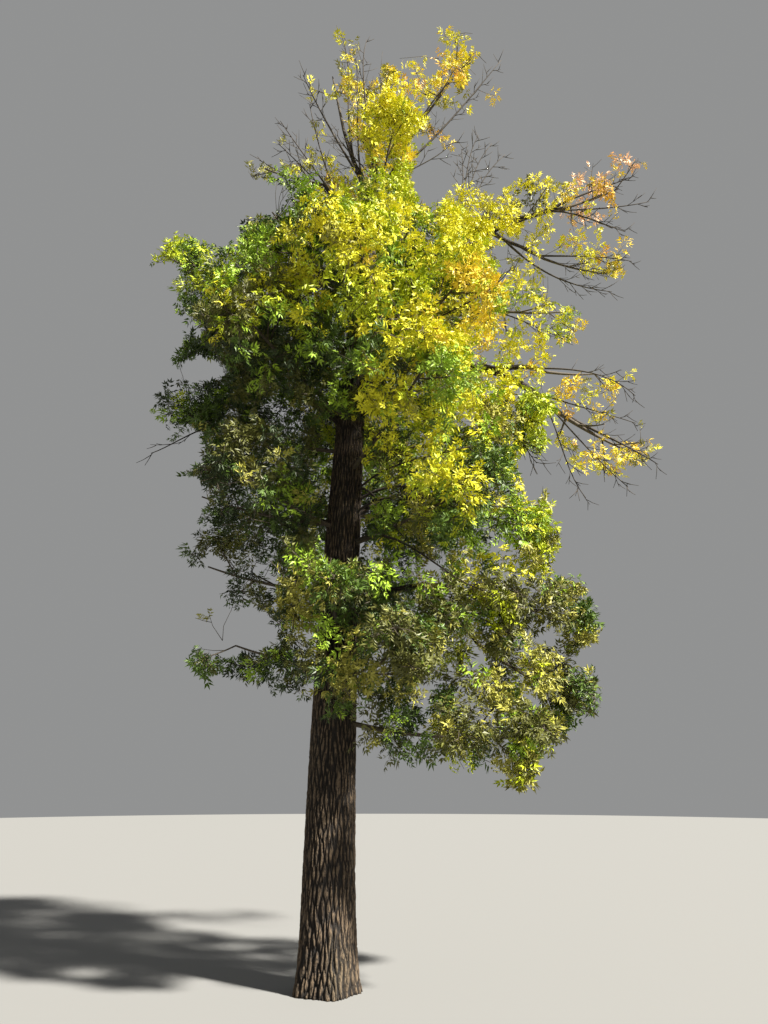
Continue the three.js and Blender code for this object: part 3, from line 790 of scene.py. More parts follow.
# %% [markdown]
# The trunk is one mesh: 244 rings of 400 points, each pushed out or in by the relief at its place. The
# rings stand closer together low down, where the camera is near. A displacement modifier could do the
# same from a picture, but the relief as a function needs no picture, and the material can read it at
# every point. The top closes as a dome inside the fork.

# %% Trunk with its bark
TRUNK_RIDGES = 66
GRAIN_STEP = 0.03
TRUNK_COLUMNS = 400
TRUNK_ROWS = 244
ROW_CROWDING = 0.45
FURROW = 0.075
CREST = 0.03
GRAIN = 0.03
GRAIN_IN_TONE = 0.35
DOME = 0.22
DOME_LEAST = 0.02


def bark_surface(limb_shape, shares, columns, ridges, height_of, fall_off=1.0):
    """Rings of points with the bark's relief on them, and the relief itself with a share of the grain.

    A point lies at the limb's radius x (1 + crest - furrow (1 - relief) + grain) from the line.
    """
    line, radius_at, sideways = limb_shape
    angles = np.linspace(0, 2 * np.pi, columns, endpoint=False)
    share, angle = np.meshgrid(shares, angles, indexing="ij")
    turns, height = angle / (2 * np.pi), height_of(share)
    relief = ridge_net(turns, height, ridges)
    grain = smooth_noise(turns * ridges * 2, height / GRAIN_STEP, ridges * 2) - 0.5
    radius = radius_at(share, angle) * (1 + CREST - FURROW * (1 - relief) + GRAIN * grain) * fall_off
    path = line(shares)
    across, over = across_and_over(path, sideways)
    out = over[:, None] * -np.cos(angle)[..., None] + across[:, None] * np.sin(angle)[..., None]
    points = path[:, None] + radius[..., None] * out
    return points.reshape(-1, 3), relief + GRAIN_IN_TONE * grain


steps = np.linspace(0, 1, TRUNK_ROWS)
trunk_shares = (1 - ROW_CROWDING) * steps + ROW_CROWDING * steps**2
from_top = np.clip((1 - trunk_shares) * TRUNK_HEIGHT / DOME, 0, 1)
dome = np.sqrt(np.clip(1 - (1 - from_top) ** 2, DOME_LEAST, 1))
points, relief = bark_surface(
    (trunk_line, trunk_radius, AWAY),
    trunk_shares,
    TRUNK_COLUMNS,
    TRUNK_RIDGES,
    lambda share: share * TRUNK_HEIGHT,
    dome[:, None],
)
trunk = new_piece("trunk_bark", points, ring_faces(TRUNK_ROWS, TRUNK_COLUMNS), values={"relief": relief})

# %% [markdown]
# The boughs are younger wood, with finer bark. So the same net is drawn round them with fewer ridges, and
# because the relief is a share of the radius, it grows shallower towards their tips by itself. Slow
# swellings along each bough stand for old leaf scars and healed knots.

# %% Boughs with their bark
BOUGH_COLUMNS = 24
BOUGH_RIDGES = 12
BOUGH_ROW_LENGTH = 0.022
BOUGH_NET_PACE = 1.6
BOUGH_SWELL = 0.07
SWELL_LENGTH = 0.16
SWELL_SEED = 3.3


def span_of(limb):
    """The straight distance from a limb's root to its tip."""
    return float(np.linalg.norm(limb.points[-1] - limb.points[0]))


def make_bough(limb):
    """One bough: the limb's own line, and its taper x (1 + swell x noise along it)."""
    length = span_of(limb)
    rows = int(length / BOUGH_ROW_LENGTH)

    def radius_at(share, angle):
        swell = smooth_noise(share * length / SWELL_LENGTH, share * 0 + SWELL_SEED, NET_SIDE) - 0.5
        return limb.radius_at(share) * (1 + BOUGH_SWELL * swell)

    points, relief = bark_surface(
        (limb.line, radius_at, limb.sideways),
        np.linspace(0, 1, rows),
        BOUGH_COLUMNS,
        BOUGH_RIDGES,
        lambda share: share * length * BOUGH_NET_PACE,
    )
    faces = ring_faces(rows, BOUGH_COLUMNS)
    return new_piece(limb.name + "_bark", points, faces, values={"relief": relief})


bough_pieces = {name: make_bough(limb) for name, limb in limbs.items() if name.startswith("bough_")}

# %% [markdown]
# The bark's colour follows its relief: weathered grey-brown on the ridges, and dark and slightly red in the
# furrows. That darkness is partly the bark's own, where rain doesn't reach, and partly painted shade, where
# light doesn't reach. Cracks run where a fine noise, drawn out upwards, passes its middle value, for such
# places form thin winding lines. Slow noise adds the greener patches of dry lichen.

# %% Bark material
BARK_ROUGHNESS = 0.9
GRAIN_STRETCH = (1, 1, 2.5)
CRACK_SIZE = 2.2
CRACK_STRETCH = (1, 1, 4)
CRACK_SHARPNESS = 26.0
CRACK_DEPTH = 0.012
CRACK_HEIGHT = 0.6
CRACK_STRENGTH = 0.9
PATCH_SIZE = 0.5
PATCH_STRETCH = (1, 1, 2)
PATCH_FROM = 0.52
PATCH_EDGE = 2.2
PATCH_COVER = 0.5
# The relief's share of the tone darkens the furrows: partly the bark's own colour and partly painted shade.
RELIEF_TONE_AND_SHADE = 0.42
CRACK_TONE = 0.22
GRAIN_TONE = 0.5
TONE_BELOW = 0.14
MIDDLE_TONE = 0.45
PALE_TONE = 0.95
DULLEST = 0.98
GRAIN_SHINE = 0.22


def bark_finish(name, dark, middle, pale, lichen, grain_size):
    """Bark whose colour comes from its relief, cracks and grain, with lichen, and cracks in the bump too.

    crack: (noise - 0.5) squared x sharpness squared, 0 in a crack and held at 1 beside it.
    tone: relief, crack x relief and grain, each x its own share, less a fixed part.
    cover of lichen: (patches - where they start) x edge x relief, held between 0 and 1, x its most.
    """
    finish = Finish(name, roughness=BARK_ROUGHNESS)
    relief = finish.stored("relief")
    grain = finish.noise(grain_size, detail=4, stretch=GRAIN_STRETCH)
    swirl = finish.noise(CRACK_SIZE * grain_size, detail=2, stretch=CRACK_STRETCH) - 0.5
    crack = finish.clamped(swirl * swirl * CRACK_SHARPNESS * CRACK_SHARPNESS)
    patches = finish.noise(PATCH_SIZE, detail=3, stretch=PATCH_STRETCH)
    # The relief's part of the tone darkens the furrows, partly as painted shade.
    tone = relief * RELIEF_TONE_AND_SHADE + crack * relief * CRACK_TONE + grain * GRAIN_TONE - TONE_BELOW
    bark = finish.ramp(tone, [(0.0, dark), (MIDDLE_TONE, middle), (PALE_TONE, pale)])
    cover = finish.clamped((patches - PATCH_FROM) * PATCH_EDGE * relief) * PATCH_COVER
    colour = finish.between(cover, bark, linear(lichen))
    finish.feed(finish.shader.inputs["Base Color"], colour)
    finish.feed(finish.shader.inputs["Roughness"], DULLEST - grain * GRAIN_SHINE)
    finish.bump(grain + crack * CRACK_HEIGHT, CRACK_DEPTH, CRACK_STRENGTH)
    return finish.material


# The trunk's colours are darker than its bark's own, as painted shade: they stand for the crown's shadow
# that falls on the trunk.
trunk_bark = bark_finish(
    "bark_trunk", dark="060402", middle="231a11", pale="705e49", lichen="59563e", grain_size=0.012
)
bough_bark = bark_finish(
    "bark_bough", dark="120d0a", middle="31271f", pale="5d5045", lichen="56553f", grain_size=0.006
)


def dress(piece, material, nodes):
    """Gives a finished piece its material and its body, and hides the CAD nodes it stands for."""
    piece.data.materials.append(material)
    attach(piece, "root")
    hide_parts(*nodes)


dress(trunk, trunk_bark, ["trunk"])
for name, piece in bough_pieces.items():
    dress(piece, bough_bark, [name])
print("bark on", 1 + len(bough_pieces), "pieces")

# %% [markdown]
# ## Stems, twigs and shoots
#
# From here on the tree is drawn finer than the solids. Each spray of the rule turns into five leafy
# shoots, which leave the outer half of the twig one after the other and end where the solid's leaves end.
# Each of them forks into side shoots, and the twig itself carries a few more. A shoot is a smooth curve
# between four controls: it starts along its twig and turns up towards the light at its tip, as ash shoots
# do.
#
# Where leaves may be is asked in one place. A point has room if it is inside a mass's space, whose edge
# is made uneven by a slow wave. In the dense parts of the crown leaves may go further past that edge, so
# that the masses close up. Two kinds of places stay open: a lane in front of the trunk, where the real
# crown parts and shows its bark, and gaps where the sky shows through. Both are judged from the camera.
# Leaves could be picked off one by one instead, but a rule keeps the crown whole from every other side.

# %% Room for leaves
# centre, reach: the middle and the half-widths of a dense part of the crown; edge: how far from a mass's
# centre leaves may go there, as a share of the reach of its space.
CORES = {
    "heart": dict(centre=(0.1, 0.1, 6.3), reach=(2.2, 2.0, 3.7), edge=1.2),
    "spire": dict(centre=(0.35, 0.0, 10.5), reach=(0.85, 0.7, 1.7), edge=1.35),
    "shoulder": dict(centre=(1.7, 0.1, 8.6), reach=(1.0, 0.75, 1.1), edge=1.4),
    "front": dict(centre=(0.05, -0.9, 6.6), reach=(0.75, 0.8, 1.1), edge=1.8),
    "low": dict(centre=(0.05, -0.75, 3.1), reach=(0.75, 0.6, 0.7), edge=1.7),
    "great_end": dict(centre=(3.0, 0.5, 6.95), reach=(0.35, 0.35, 0.35), edge=3.0),
    "great_low": dict(centre=(3.2, 0.7, 5.85), reach=(0.35, 0.3, 0.25), edge=3.0),
    "fork": dict(centre=(3.1, 0.3, 8.9), reach=(0.4, 0.35, 0.25), edge=2.5),
    "second": dict(centre=(2.5, 0.3, 8.0), reach=(0.25, 0.3, 0.25), edge=2.5),
    "great_over": dict(centre=(2.15, 0.4, 7.3), reach=(0.4, 0.3, 0.3), edge=3.0),
    "over": dict(centre=(2.75, 0.1, 9.6), reach=(0.6, 0.35, 0.35), edge=2.0),
    "right_inner": dict(centre=(2.0, -0.2, 4.3), reach=(0.45, 0.6, 0.35), edge=3.0),
    "second_low": dict(centre=(2.6, 0.3, 7.55), reach=(0.25, 0.3, 0.25), edge=2.5),
    "mid_inner": dict(centre=(0.75, -0.6, 4.0), reach=(0.3, 0.4, 0.25), edge=3.0),
    "left_end": dict(centre=(-2.0, 0.0, 6.2), reach=(0.35, 0.4, 0.4), edge=2.0),
    "far_inner": dict(centre=(-1.85, -0.1, 8.05), reach=(0.45, 0.4, 0.35), edge=2.0),
    "skirt": dict(centre=(1.1, -0.35, 2.8), reach=(1.4, 0.7, 0.8), edge=1.6),
}
# x, y, z: the middle of a gap, an upright ellipse that leaves may not hide from the eye; wide, tall: its
# half-widths.
GAPS = {
    "top_left": dict(x=-0.35, y=0.0, z=12.0, wide=0.2, tall=0.45),
    "top_mid": dict(x=0.3, y=0.0, z=11.95, wide=0.2, tall=0.4),
    "top_right": dict(x=2.0, y=0.0, z=11.65, wide=0.15, tall=0.45),
    "under_top_right": dict(x=1.65, y=0.0, z=10.9, wide=0.2, tall=0.15),
    "under_top_left": dict(x=-0.4, y=-0.1, z=10.95, wide=0.15, tall=0.3),
    "left_of_neck": dict(x=-0.15, y=-0.1, z=10.6, wide=0.15, tall=0.5),
    "low_left_of_neck": dict(x=0.1, y=-0.1, z=10.1, wide=0.2, tall=0.3),
    "right_of_neck": dict(x=1.2, y=-0.1, z=9.75, wide=0.25, tall=0.5),
    "over_left_top": dict(x=-0.85, y=-0.1, z=10.15, wide=0.3, tall=0.2),
    "under_left_top": dict(x=-1.1, y=0.0, z=9.45, wide=0.45, tall=0.3),
    "by_far_left": dict(x=-1.6, y=-0.2, z=8.85, wide=0.2, tall=0.3),
    "far_left_end": dict(x=-2.35, y=0.0, z=8.25, wide=0.2, tall=0.15),
    "left_mid": dict(x=-1.75, y=0.0, z=6.75, wide=0.3, tall=0.15),
    "left_dark": dict(x=-1.8, y=0.0, z=5.65, wide=0.15, tall=0.25),
    "left_inner": dict(x=-1.75, y=0.0, z=5.0, wide=0.2, tall=0.3),
    "left_low": dict(x=-1.5, y=0.0, z=4.0, wide=0.25, tall=0.2),
    "left_foot": dict(x=-1.15, y=0.0, z=3.45, wide=0.5, tall=0.25),
    "upper_tip": dict(x=4.0, y=0.2, z=9.6, wide=0.15, tall=0.4),
    "under_upper": dict(x=2.15, y=0.1, z=8.6, wide=0.25, tall=0.1),
    "under_fork": dict(x=3.25, y=0.3, z=8.15, wide=0.45, tall=0.2),
    "over_great": dict(x=3.4, y=0.5, z=7.2, wide=0.5, tall=0.25),
    "great_tip": dict(x=3.75, y=0.8, z=6.3, wide=0.35, tall=0.15),
    "by_bulge": dict(x=2.3, y=0.0, z=5.35, wide=0.12, tall=0.3),
    "low_right": dict(x=3.05, y=0.0, z=3.8, wide=0.1, tall=0.25),
}
SPACE_SLACK = 1.0
LUMPS = 0.2
LUMP_WAVES = np.array([7.3, 8.1, 6.7])
LUMP_STARTS = [0, 1, 2]
LANE_HALF_WIDTH = 0.21
LANE_LOW = 4.3
LANE_HIGH = 6.1
LANE_UNEVEN = 0.25
LANE_WAVES = 9
GAP_EDGE = 1.1
GAP_UNEVEN = 0.35
GAP_WAVES_ACROSS = 17
GAP_WAVES_UP = 19
NEAREST = 1e-3

centres = np.array([stem.centre for stem in stems])
aheads = np.array([stem.ahead for stem in stems])
half_longs = np.array([stem.long for stem in stems]) / 2
half_wides = np.array([stem.wide for stem in stems]) / 2


def shares_of_spaces(points):
    """For each point and each mass, the distance from its centre as a share of its spheroid's reach."""
    away = points[:, None] - centres
    along = np.sum(away * aheads, axis=-1)
    across = np.sum(away * away, axis=-1) - along**2
    return np.sqrt((along / half_longs) ** 2 + np.maximum(across, 0) / half_wides**2)


def seen_at(points, plane):
    """Where the line from the eye through each point meets the upright plane at one y."""
    share = (plane - EYE[1]) / np.maximum(points[:, 1] - EYE[1], NEAREST)
    return EYE + (points - EYE) * share[:, None]


def axis_at(heights):
    """The point of the trunk's line at each height, held within the trunk."""
    return trunk_line(np.clip(heights / TRUNK_HEIGHT, 0, 1))


def in_lane(points):
    """Which points hide the stretch of trunk that shows: they lie in front of it on a line from the eye."""
    seen = seen_at(points, 0.0)
    x, z = seen[:, 0], seen[:, 2]
    axis = axis_at(z)[:, 0]
    edge = LANE_HALF_WIDTH * (1 + LANE_UNEVEN * np.sin(LANE_WAVES * z))
    return (points[:, 1] < 0) & (np.abs(x - axis) < edge) & (z > LANE_LOW) & (z < LANE_HIGH)


def from_middle(points, ellipse):
    """(aside / wide) squared + (above / tall) squared of each point as seen: 1 at an ellipse's edge."""
    seen = seen_at(points, ellipse["y"])
    aside = (seen[:, 0] - ellipse["x"]) / ellipse["wide"]
    above = (seen[:, 2] - ellipse["z"]) / ellipse["tall"]
    return aside**2 + above**2


def in_gap(points):
    """Which points lie in a gap of sky: inside its ellipse, with an uneven edge, as seen from the eye."""
    inside = np.zeros(len(points), bool)
    across, up = np.sin(points[:, 0] * GAP_WAVES_ACROSS), np.sin(points[:, 2] * GAP_WAVES_UP)
    edge = GAP_EDGE + GAP_UNEVEN * across * up
    for gap in GAPS.values():
        inside |= from_middle(points, gap) < edge
    return inside


def nearest_mass(point):
    """The number of the mass whose space a point is nearest to the middle of, for its size."""
    return int(shares_of_spaces(point[None]).argmin())


def left_open(points):
    """Which points lie where the trunk or the sky shows."""
    return in_lane(points) | in_gap(points)


def core_edge(points):
    """How far out leaves may be at each point, as a share of a space's reach: more in the dense parts."""
    edge = np.full(len(points), SPACE_SLACK)
    for core in CORES.values():
        inside = np.sum(((points - core["centre"]) / core["reach"]) ** 2, axis=1) < 1
        edge[inside] = np.maximum(edge[inside], core["edge"])
    return edge


def has_room(points):
    """Which points leaves may reach: within the wavy edge of the nearest space, and not left open."""
    lumps = LUMPS * np.prod(np.sin(points * LUMP_WAVES + LUMP_STARTS), axis=1)
    near = shares_of_spaces(points).min(axis=1) < core_edge(points) + lumps
    return near & ~left_open(points)


print("spaces for leaves:", len(centres))

# %% [markdown]
# A leafy shoot is drawn as a smooth curve between four controls, because a straight tube would look like
# wire. The outer controls are its ends. The two in the middle pull it the way it sets out and the way it
# arrives. Side shoots leave it round and round at the golden angle, so that few shade each other, and
# each has a length and an angle of its own. At the open tips of the crown the shoots carry fewer side
# shoots.

# %% Curves of shoots
# LEAF_ROOM: what the leaves at a shoot's tip take up of its length; OPEN_MASSES: those at the open tips of
# the crown; GAP_DROPS: the share left out of the shoots that end in an open place; OUTER_SHARES and
# CHECKED_SHARES: where stems and twigs are tested for such a place.
DRAWS_SEED = 11
SHOOT_ROOTS = (1.0, 0.96, 0.84, 0.78, 0.62)
SHOOT_BODY = 0.33
SHOOT_PULL = 1.2
LEAF_ROOM = 0.13
LEAST_SHOOT = 0.4
SIDE_PLACES = (0.3, 0.5, 0.7, 0.88)
SIDE_SPREAD = 54
SIDE_LENGTH = 0.48
OPEN_MASSES = (
    "top_left", "top_mid", "top_right", "neck_back", "left_top", "upper_over", "upper_tip", "fork_tip",
    "second_tip", "great_fork", "great_tip",
)
OPEN_SIDE_PLACES = (0.45, 0.75)
OPEN_SIDE_LENGTH = 0.36
INNER_PLACES = (0.3, 0.5, 0.68)
INNER_SPREAD = 62
INNER_LENGTH = 0.26
FORK_SHORTENS = 0.4
FORK_LEAST = 0.7
FORK_VARIES = 0.6
FORK_STRAY = 20
FORK_SIDEWAYS = 0.1
STEP_BACK = 0.05
TURN_UP = 0.3
STEM_SAG = 0.04
TIP_SHARE = 0.3
TWIG_BOW = 0.1
TWIG_BOW_MIDDLE = 0.6
GAP_DROPS = 0.85
OUTER_SHARES = np.linspace(0.5, 1, 21)
CHECKED_SHARES = (0.6, 1.0)
SPRAYS_OF_A_MASS = 1000

rng = np.random.default_rng(DRAWS_SEED)


def curve_weights(shares):
    """Weights of a curve's four controls at shares t: (1-t)^3, 3t(1-t)^2, 3t^2(1-t) and t^3."""
    t = np.asarray(shares, float)
    return np.stack([(1 - t) ** 3, 3 * t * (1 - t) ** 2, 3 * t * t * (1 - t), t**3], axis=-1)


def bezier(controls, shares):
    """Points at some shares of each curve."""
    return curve_weights(shares) @ controls


def line_of(curve):
    """A curve as a line: a function from shares to points, like the lines of the limbs."""
    return lambda share: bezier(curve, share)


def point_and_way(line, place, step):
    """A point on a line, and the way the line runs there, seen from one step before it."""
    point = line(place)
    return point, unit(point - line(place - step))


def golden(number):
    """The turn of a shoot of this number, round and round at the golden angle."""
    return np.radians(GOLDEN_TURN) * number


def side_way(ahead, aside, turn, spread):
    """The way of a side shoot, so many degrees from the way ahead, and the side on which it leaves.

    That side starts from aside, which is at right angles to the way ahead, and is turned round that way.
    """
    outward = blend(aside, np.cross(aside, ahead), turn)
    return blend(ahead, outward, np.radians(spread)), outward


def shoot_curve(root, leaving, tip):
    """Controls of a shoot that leaves its root one way and arrives at its tip turned up a little."""
    run = tip - root
    length = np.linalg.norm(run)
    arriving = unit(run / length + UP * TURN_UP)
    return np.array([root, root + leaving * length * SHOOT_BODY, tip - arriving * length * SHOOT_BODY, tip])


def fork(limb, curve, places, spread, length, anywhere=False):
    """Side shoots of a curve at some shares of it, round and round, where they have room.

    Each is length x (1 - shortening x its place) x a share of its own long.
    """
    curves = []
    turn = 2 * np.pi * rng.random()
    for number, place in enumerate(places):
        root, ahead = point_and_way(line_of(curve), place, STEP_BACK)
        aside = unit(np.cross(ahead, UP + FORK_SIDEWAYS * limb.sideways))
        stray = FORK_STRAY * (rng.random() - 0.5)
        way, _ = side_way(ahead, aside, turn + golden(number), spread + stray)
        tip = root + way * length * (1 - FORK_SHORTENS * place) * (FORK_LEAST + FORK_VARIES * rng.random())
        if (anywhere or has_room(tip[None])[0]) and clear_of_limbs(limb, tip[None], LEAF_MARGIN / 2)[0]:
            curves.append(shoot_curve(root, way, tip))
    return curves


def sagging(stem, share):
    """The stem's line as it is drawn, lowered by 4 sag share (1 - share) under its own weight."""
    share = np.asarray(share, float)
    sag = STEM_SAG * stem.length * np.hypot(stem.ahead[0], stem.ahead[1])
    return stem.line(share) - UP * sag * (4 * share * (1 - share))[..., None]


def twig_curve(stem, twig):
    """A twig's controls: from its stem to its end, or the outer part of the stem for the stem's own tip."""
    twig["share"] = 1 - TIP_SHARE * stem.long / stem.length
    if twig["root"] is not None:
        twig["share"] = np.linalg.norm(twig["root"] - stem.line(0)) / stem.length
    root = sagging(stem, twig["share"])
    run = twig["end"] - root
    bow = UP * np.linalg.norm(run) * TWIG_BOW * (rng.random() - TWIG_BOW_MIDDLE)
    return np.array([root, root + run / 3 + bow, root + run * 2 / 3 + bow, twig["end"]])


# Each shoot is kept as its curve, its mass's number, its spray's number, and whether its leaves may be
# outside the spaces.
shoots = []
twig_curves = []
for mass, stem in enumerate(stems):
    stem.open = stem.name.removeprefix("foliage_") in OPEN_MASSES
    open_places = np.flatnonzero(left_open(sagging(stem, OUTER_SHARES)))
    stem.clear_to = OUTER_SHARES[open_places[0]] if len(open_places) else 1.0
    sides, side_length = SIDE_PLACES, SIDE_LENGTH
    if stem.open:
        sides, side_length = OPEN_SIDE_PLACES, OPEN_SIDE_LENGTH
    for number, twig in enumerate(stem.twigs):
        curve = twig_curve(stem, twig)
        if left_open(bezier(curve, CHECKED_SHARES)).any():
            continue
        stem.clear_to = max(stem.clear_to, twig["share"])
        if twig["root"] is not None:
            twig_curves.append((curve, twig["radius"]))
        spray = []
        for (way, length), place in zip(twig["shoots"], SHOOT_ROOTS):
            tip = twig["middle"] + way * max(length - LEAF_ROOM, LEAST_SHOOT * length)
            if rng.random() < GAP_DROPS and left_open(tip[None])[0]:
                continue
            main = shoot_curve(bezier(curve, place), unit(twig["way"] + SHOOT_PULL * way), tip)
            spray.append(main)
            spray += fork(stem, main, sides, SIDE_SPREAD, side_length * length)
        if not stem.open:
            spray += fork(stem, curve, INNER_PLACES, INNER_SPREAD, INNER_LENGTH)
        shoots += [(curve, mass, SPRAYS_OF_A_MASS * mass + number, False) for curve in spray]
print("twigs:", len(twig_curves), "shoots:", len(shoots))

# %% [markdown]
# An ash also puts out leafy shoots straight from its boughs, and from the stems before they branch.
# Without them the boughs would look like bare poles between the masses. Each such shoot lifts a little
# and carries two side shoots. On a bough they take the tint of the nearest mass.

# %% Shoots along the boughs and the bare parts of stems
LEAFY_FROM = 0.34
LEAFY_TO = 0.98
SHORT_STEP_BACK = 0.02
BOUGH_TWIG_STEP = 0.13
BOUGH_TWIG_SPREAD = 62
BOUGH_TWIG_LENGTH = 0.42
BOUGH_TWIG_FORKS = (0.45, 0.7)
BOUGH_FORK_LENGTH = 0.26
STEM_LEAFY_FROM = 0.3
STEM_TWIG_STEP = 0.08
STEM_TWIG_LENGTH = 0.34
STEM_FORK_LENGTH = 0.2
SHOOT_LIFT = 0.15
SHOOT_LEAST = 0.6
SHOOT_VARIES = 0.7
BOUGH_SPRAYS = 100000


def rising_tip(root, way, length):
    """The tip of a shoot that lifts a little from its way: length x a share of its own from the root."""
    return root + unit(way + UP * SHOOT_LIFT) * length * (SHOOT_LEAST + SHOOT_VARIES * rng.random())


def leafy_spray(limb, root, ahead, number, length, fork_length):
    """A shoot of a bough or stem with its side shoots, or none where it would meet another limb."""
    way, _ = side_way(ahead, limb.sideways, golden(number), BOUGH_TWIG_SPREAD)
    tip = rising_tip(root, way, length)
    if not clear_of_limbs(limb, tip[None], LEAF_MARGIN / 2)[0]:
        return []
    main = shoot_curve(root, way, tip)
    return [main, *fork(limb, main, BOUGH_TWIG_FORKS, SIDE_SPREAD, fork_length, anywhere=True)]


def keep_spray(spray, mass):
    """Adds the shoots of a bough's or stem's spray, all with one new number."""
    shoots.extend([(curve, mass, BOUGH_SPRAYS + len(shoots), True) for curve in spray])


for name, size in BOUGHS.items():
    limb = limbs["bough_" + name]
    if name == "broken":
        continue
    places = np.arange(size.get("leafy", LEAFY_FROM), LEAFY_TO, BOUGH_TWIG_STEP / span_of(limb))
    for number, place in enumerate(places):
        root, ahead = point_and_way(limb.line, place, SHORT_STEP_BACK)
        spray = leafy_spray(limb, root, ahead, number, BOUGH_TWIG_LENGTH, BOUGH_FORK_LENGTH)
        if spray:
            keep_spray(spray, nearest_mass(spray[0][-1]))

for mass, stem in enumerate(stems):
    places = np.arange(STEM_LEAFY_FROM / stem.length, stem.bare / stem.length, STEM_TWIG_STEP / stem.length)
    for number, place in enumerate(places):
        root = sagging(stem, place)
        keep_spray(leafy_spray(stem, root, stem.ahead, number, STEM_TWIG_LENGTH, STEM_FORK_LENGTH), mass)
print("shoots with those along the boughs and stems:", len(shoots))

# %% [markdown]
# ## Bare limbs
#
# Towards the tips of the crown thin dark limbs show through the leaves, and many end in dead twigs that
# stand out against the sky. Each is a curve from a limb to a place seen in the photo. They are written
# down one by one, because a rule would not end them where the photo shows them. Leafy shoots leave the
# middle of the live ones, in the tint of the nearest mass.

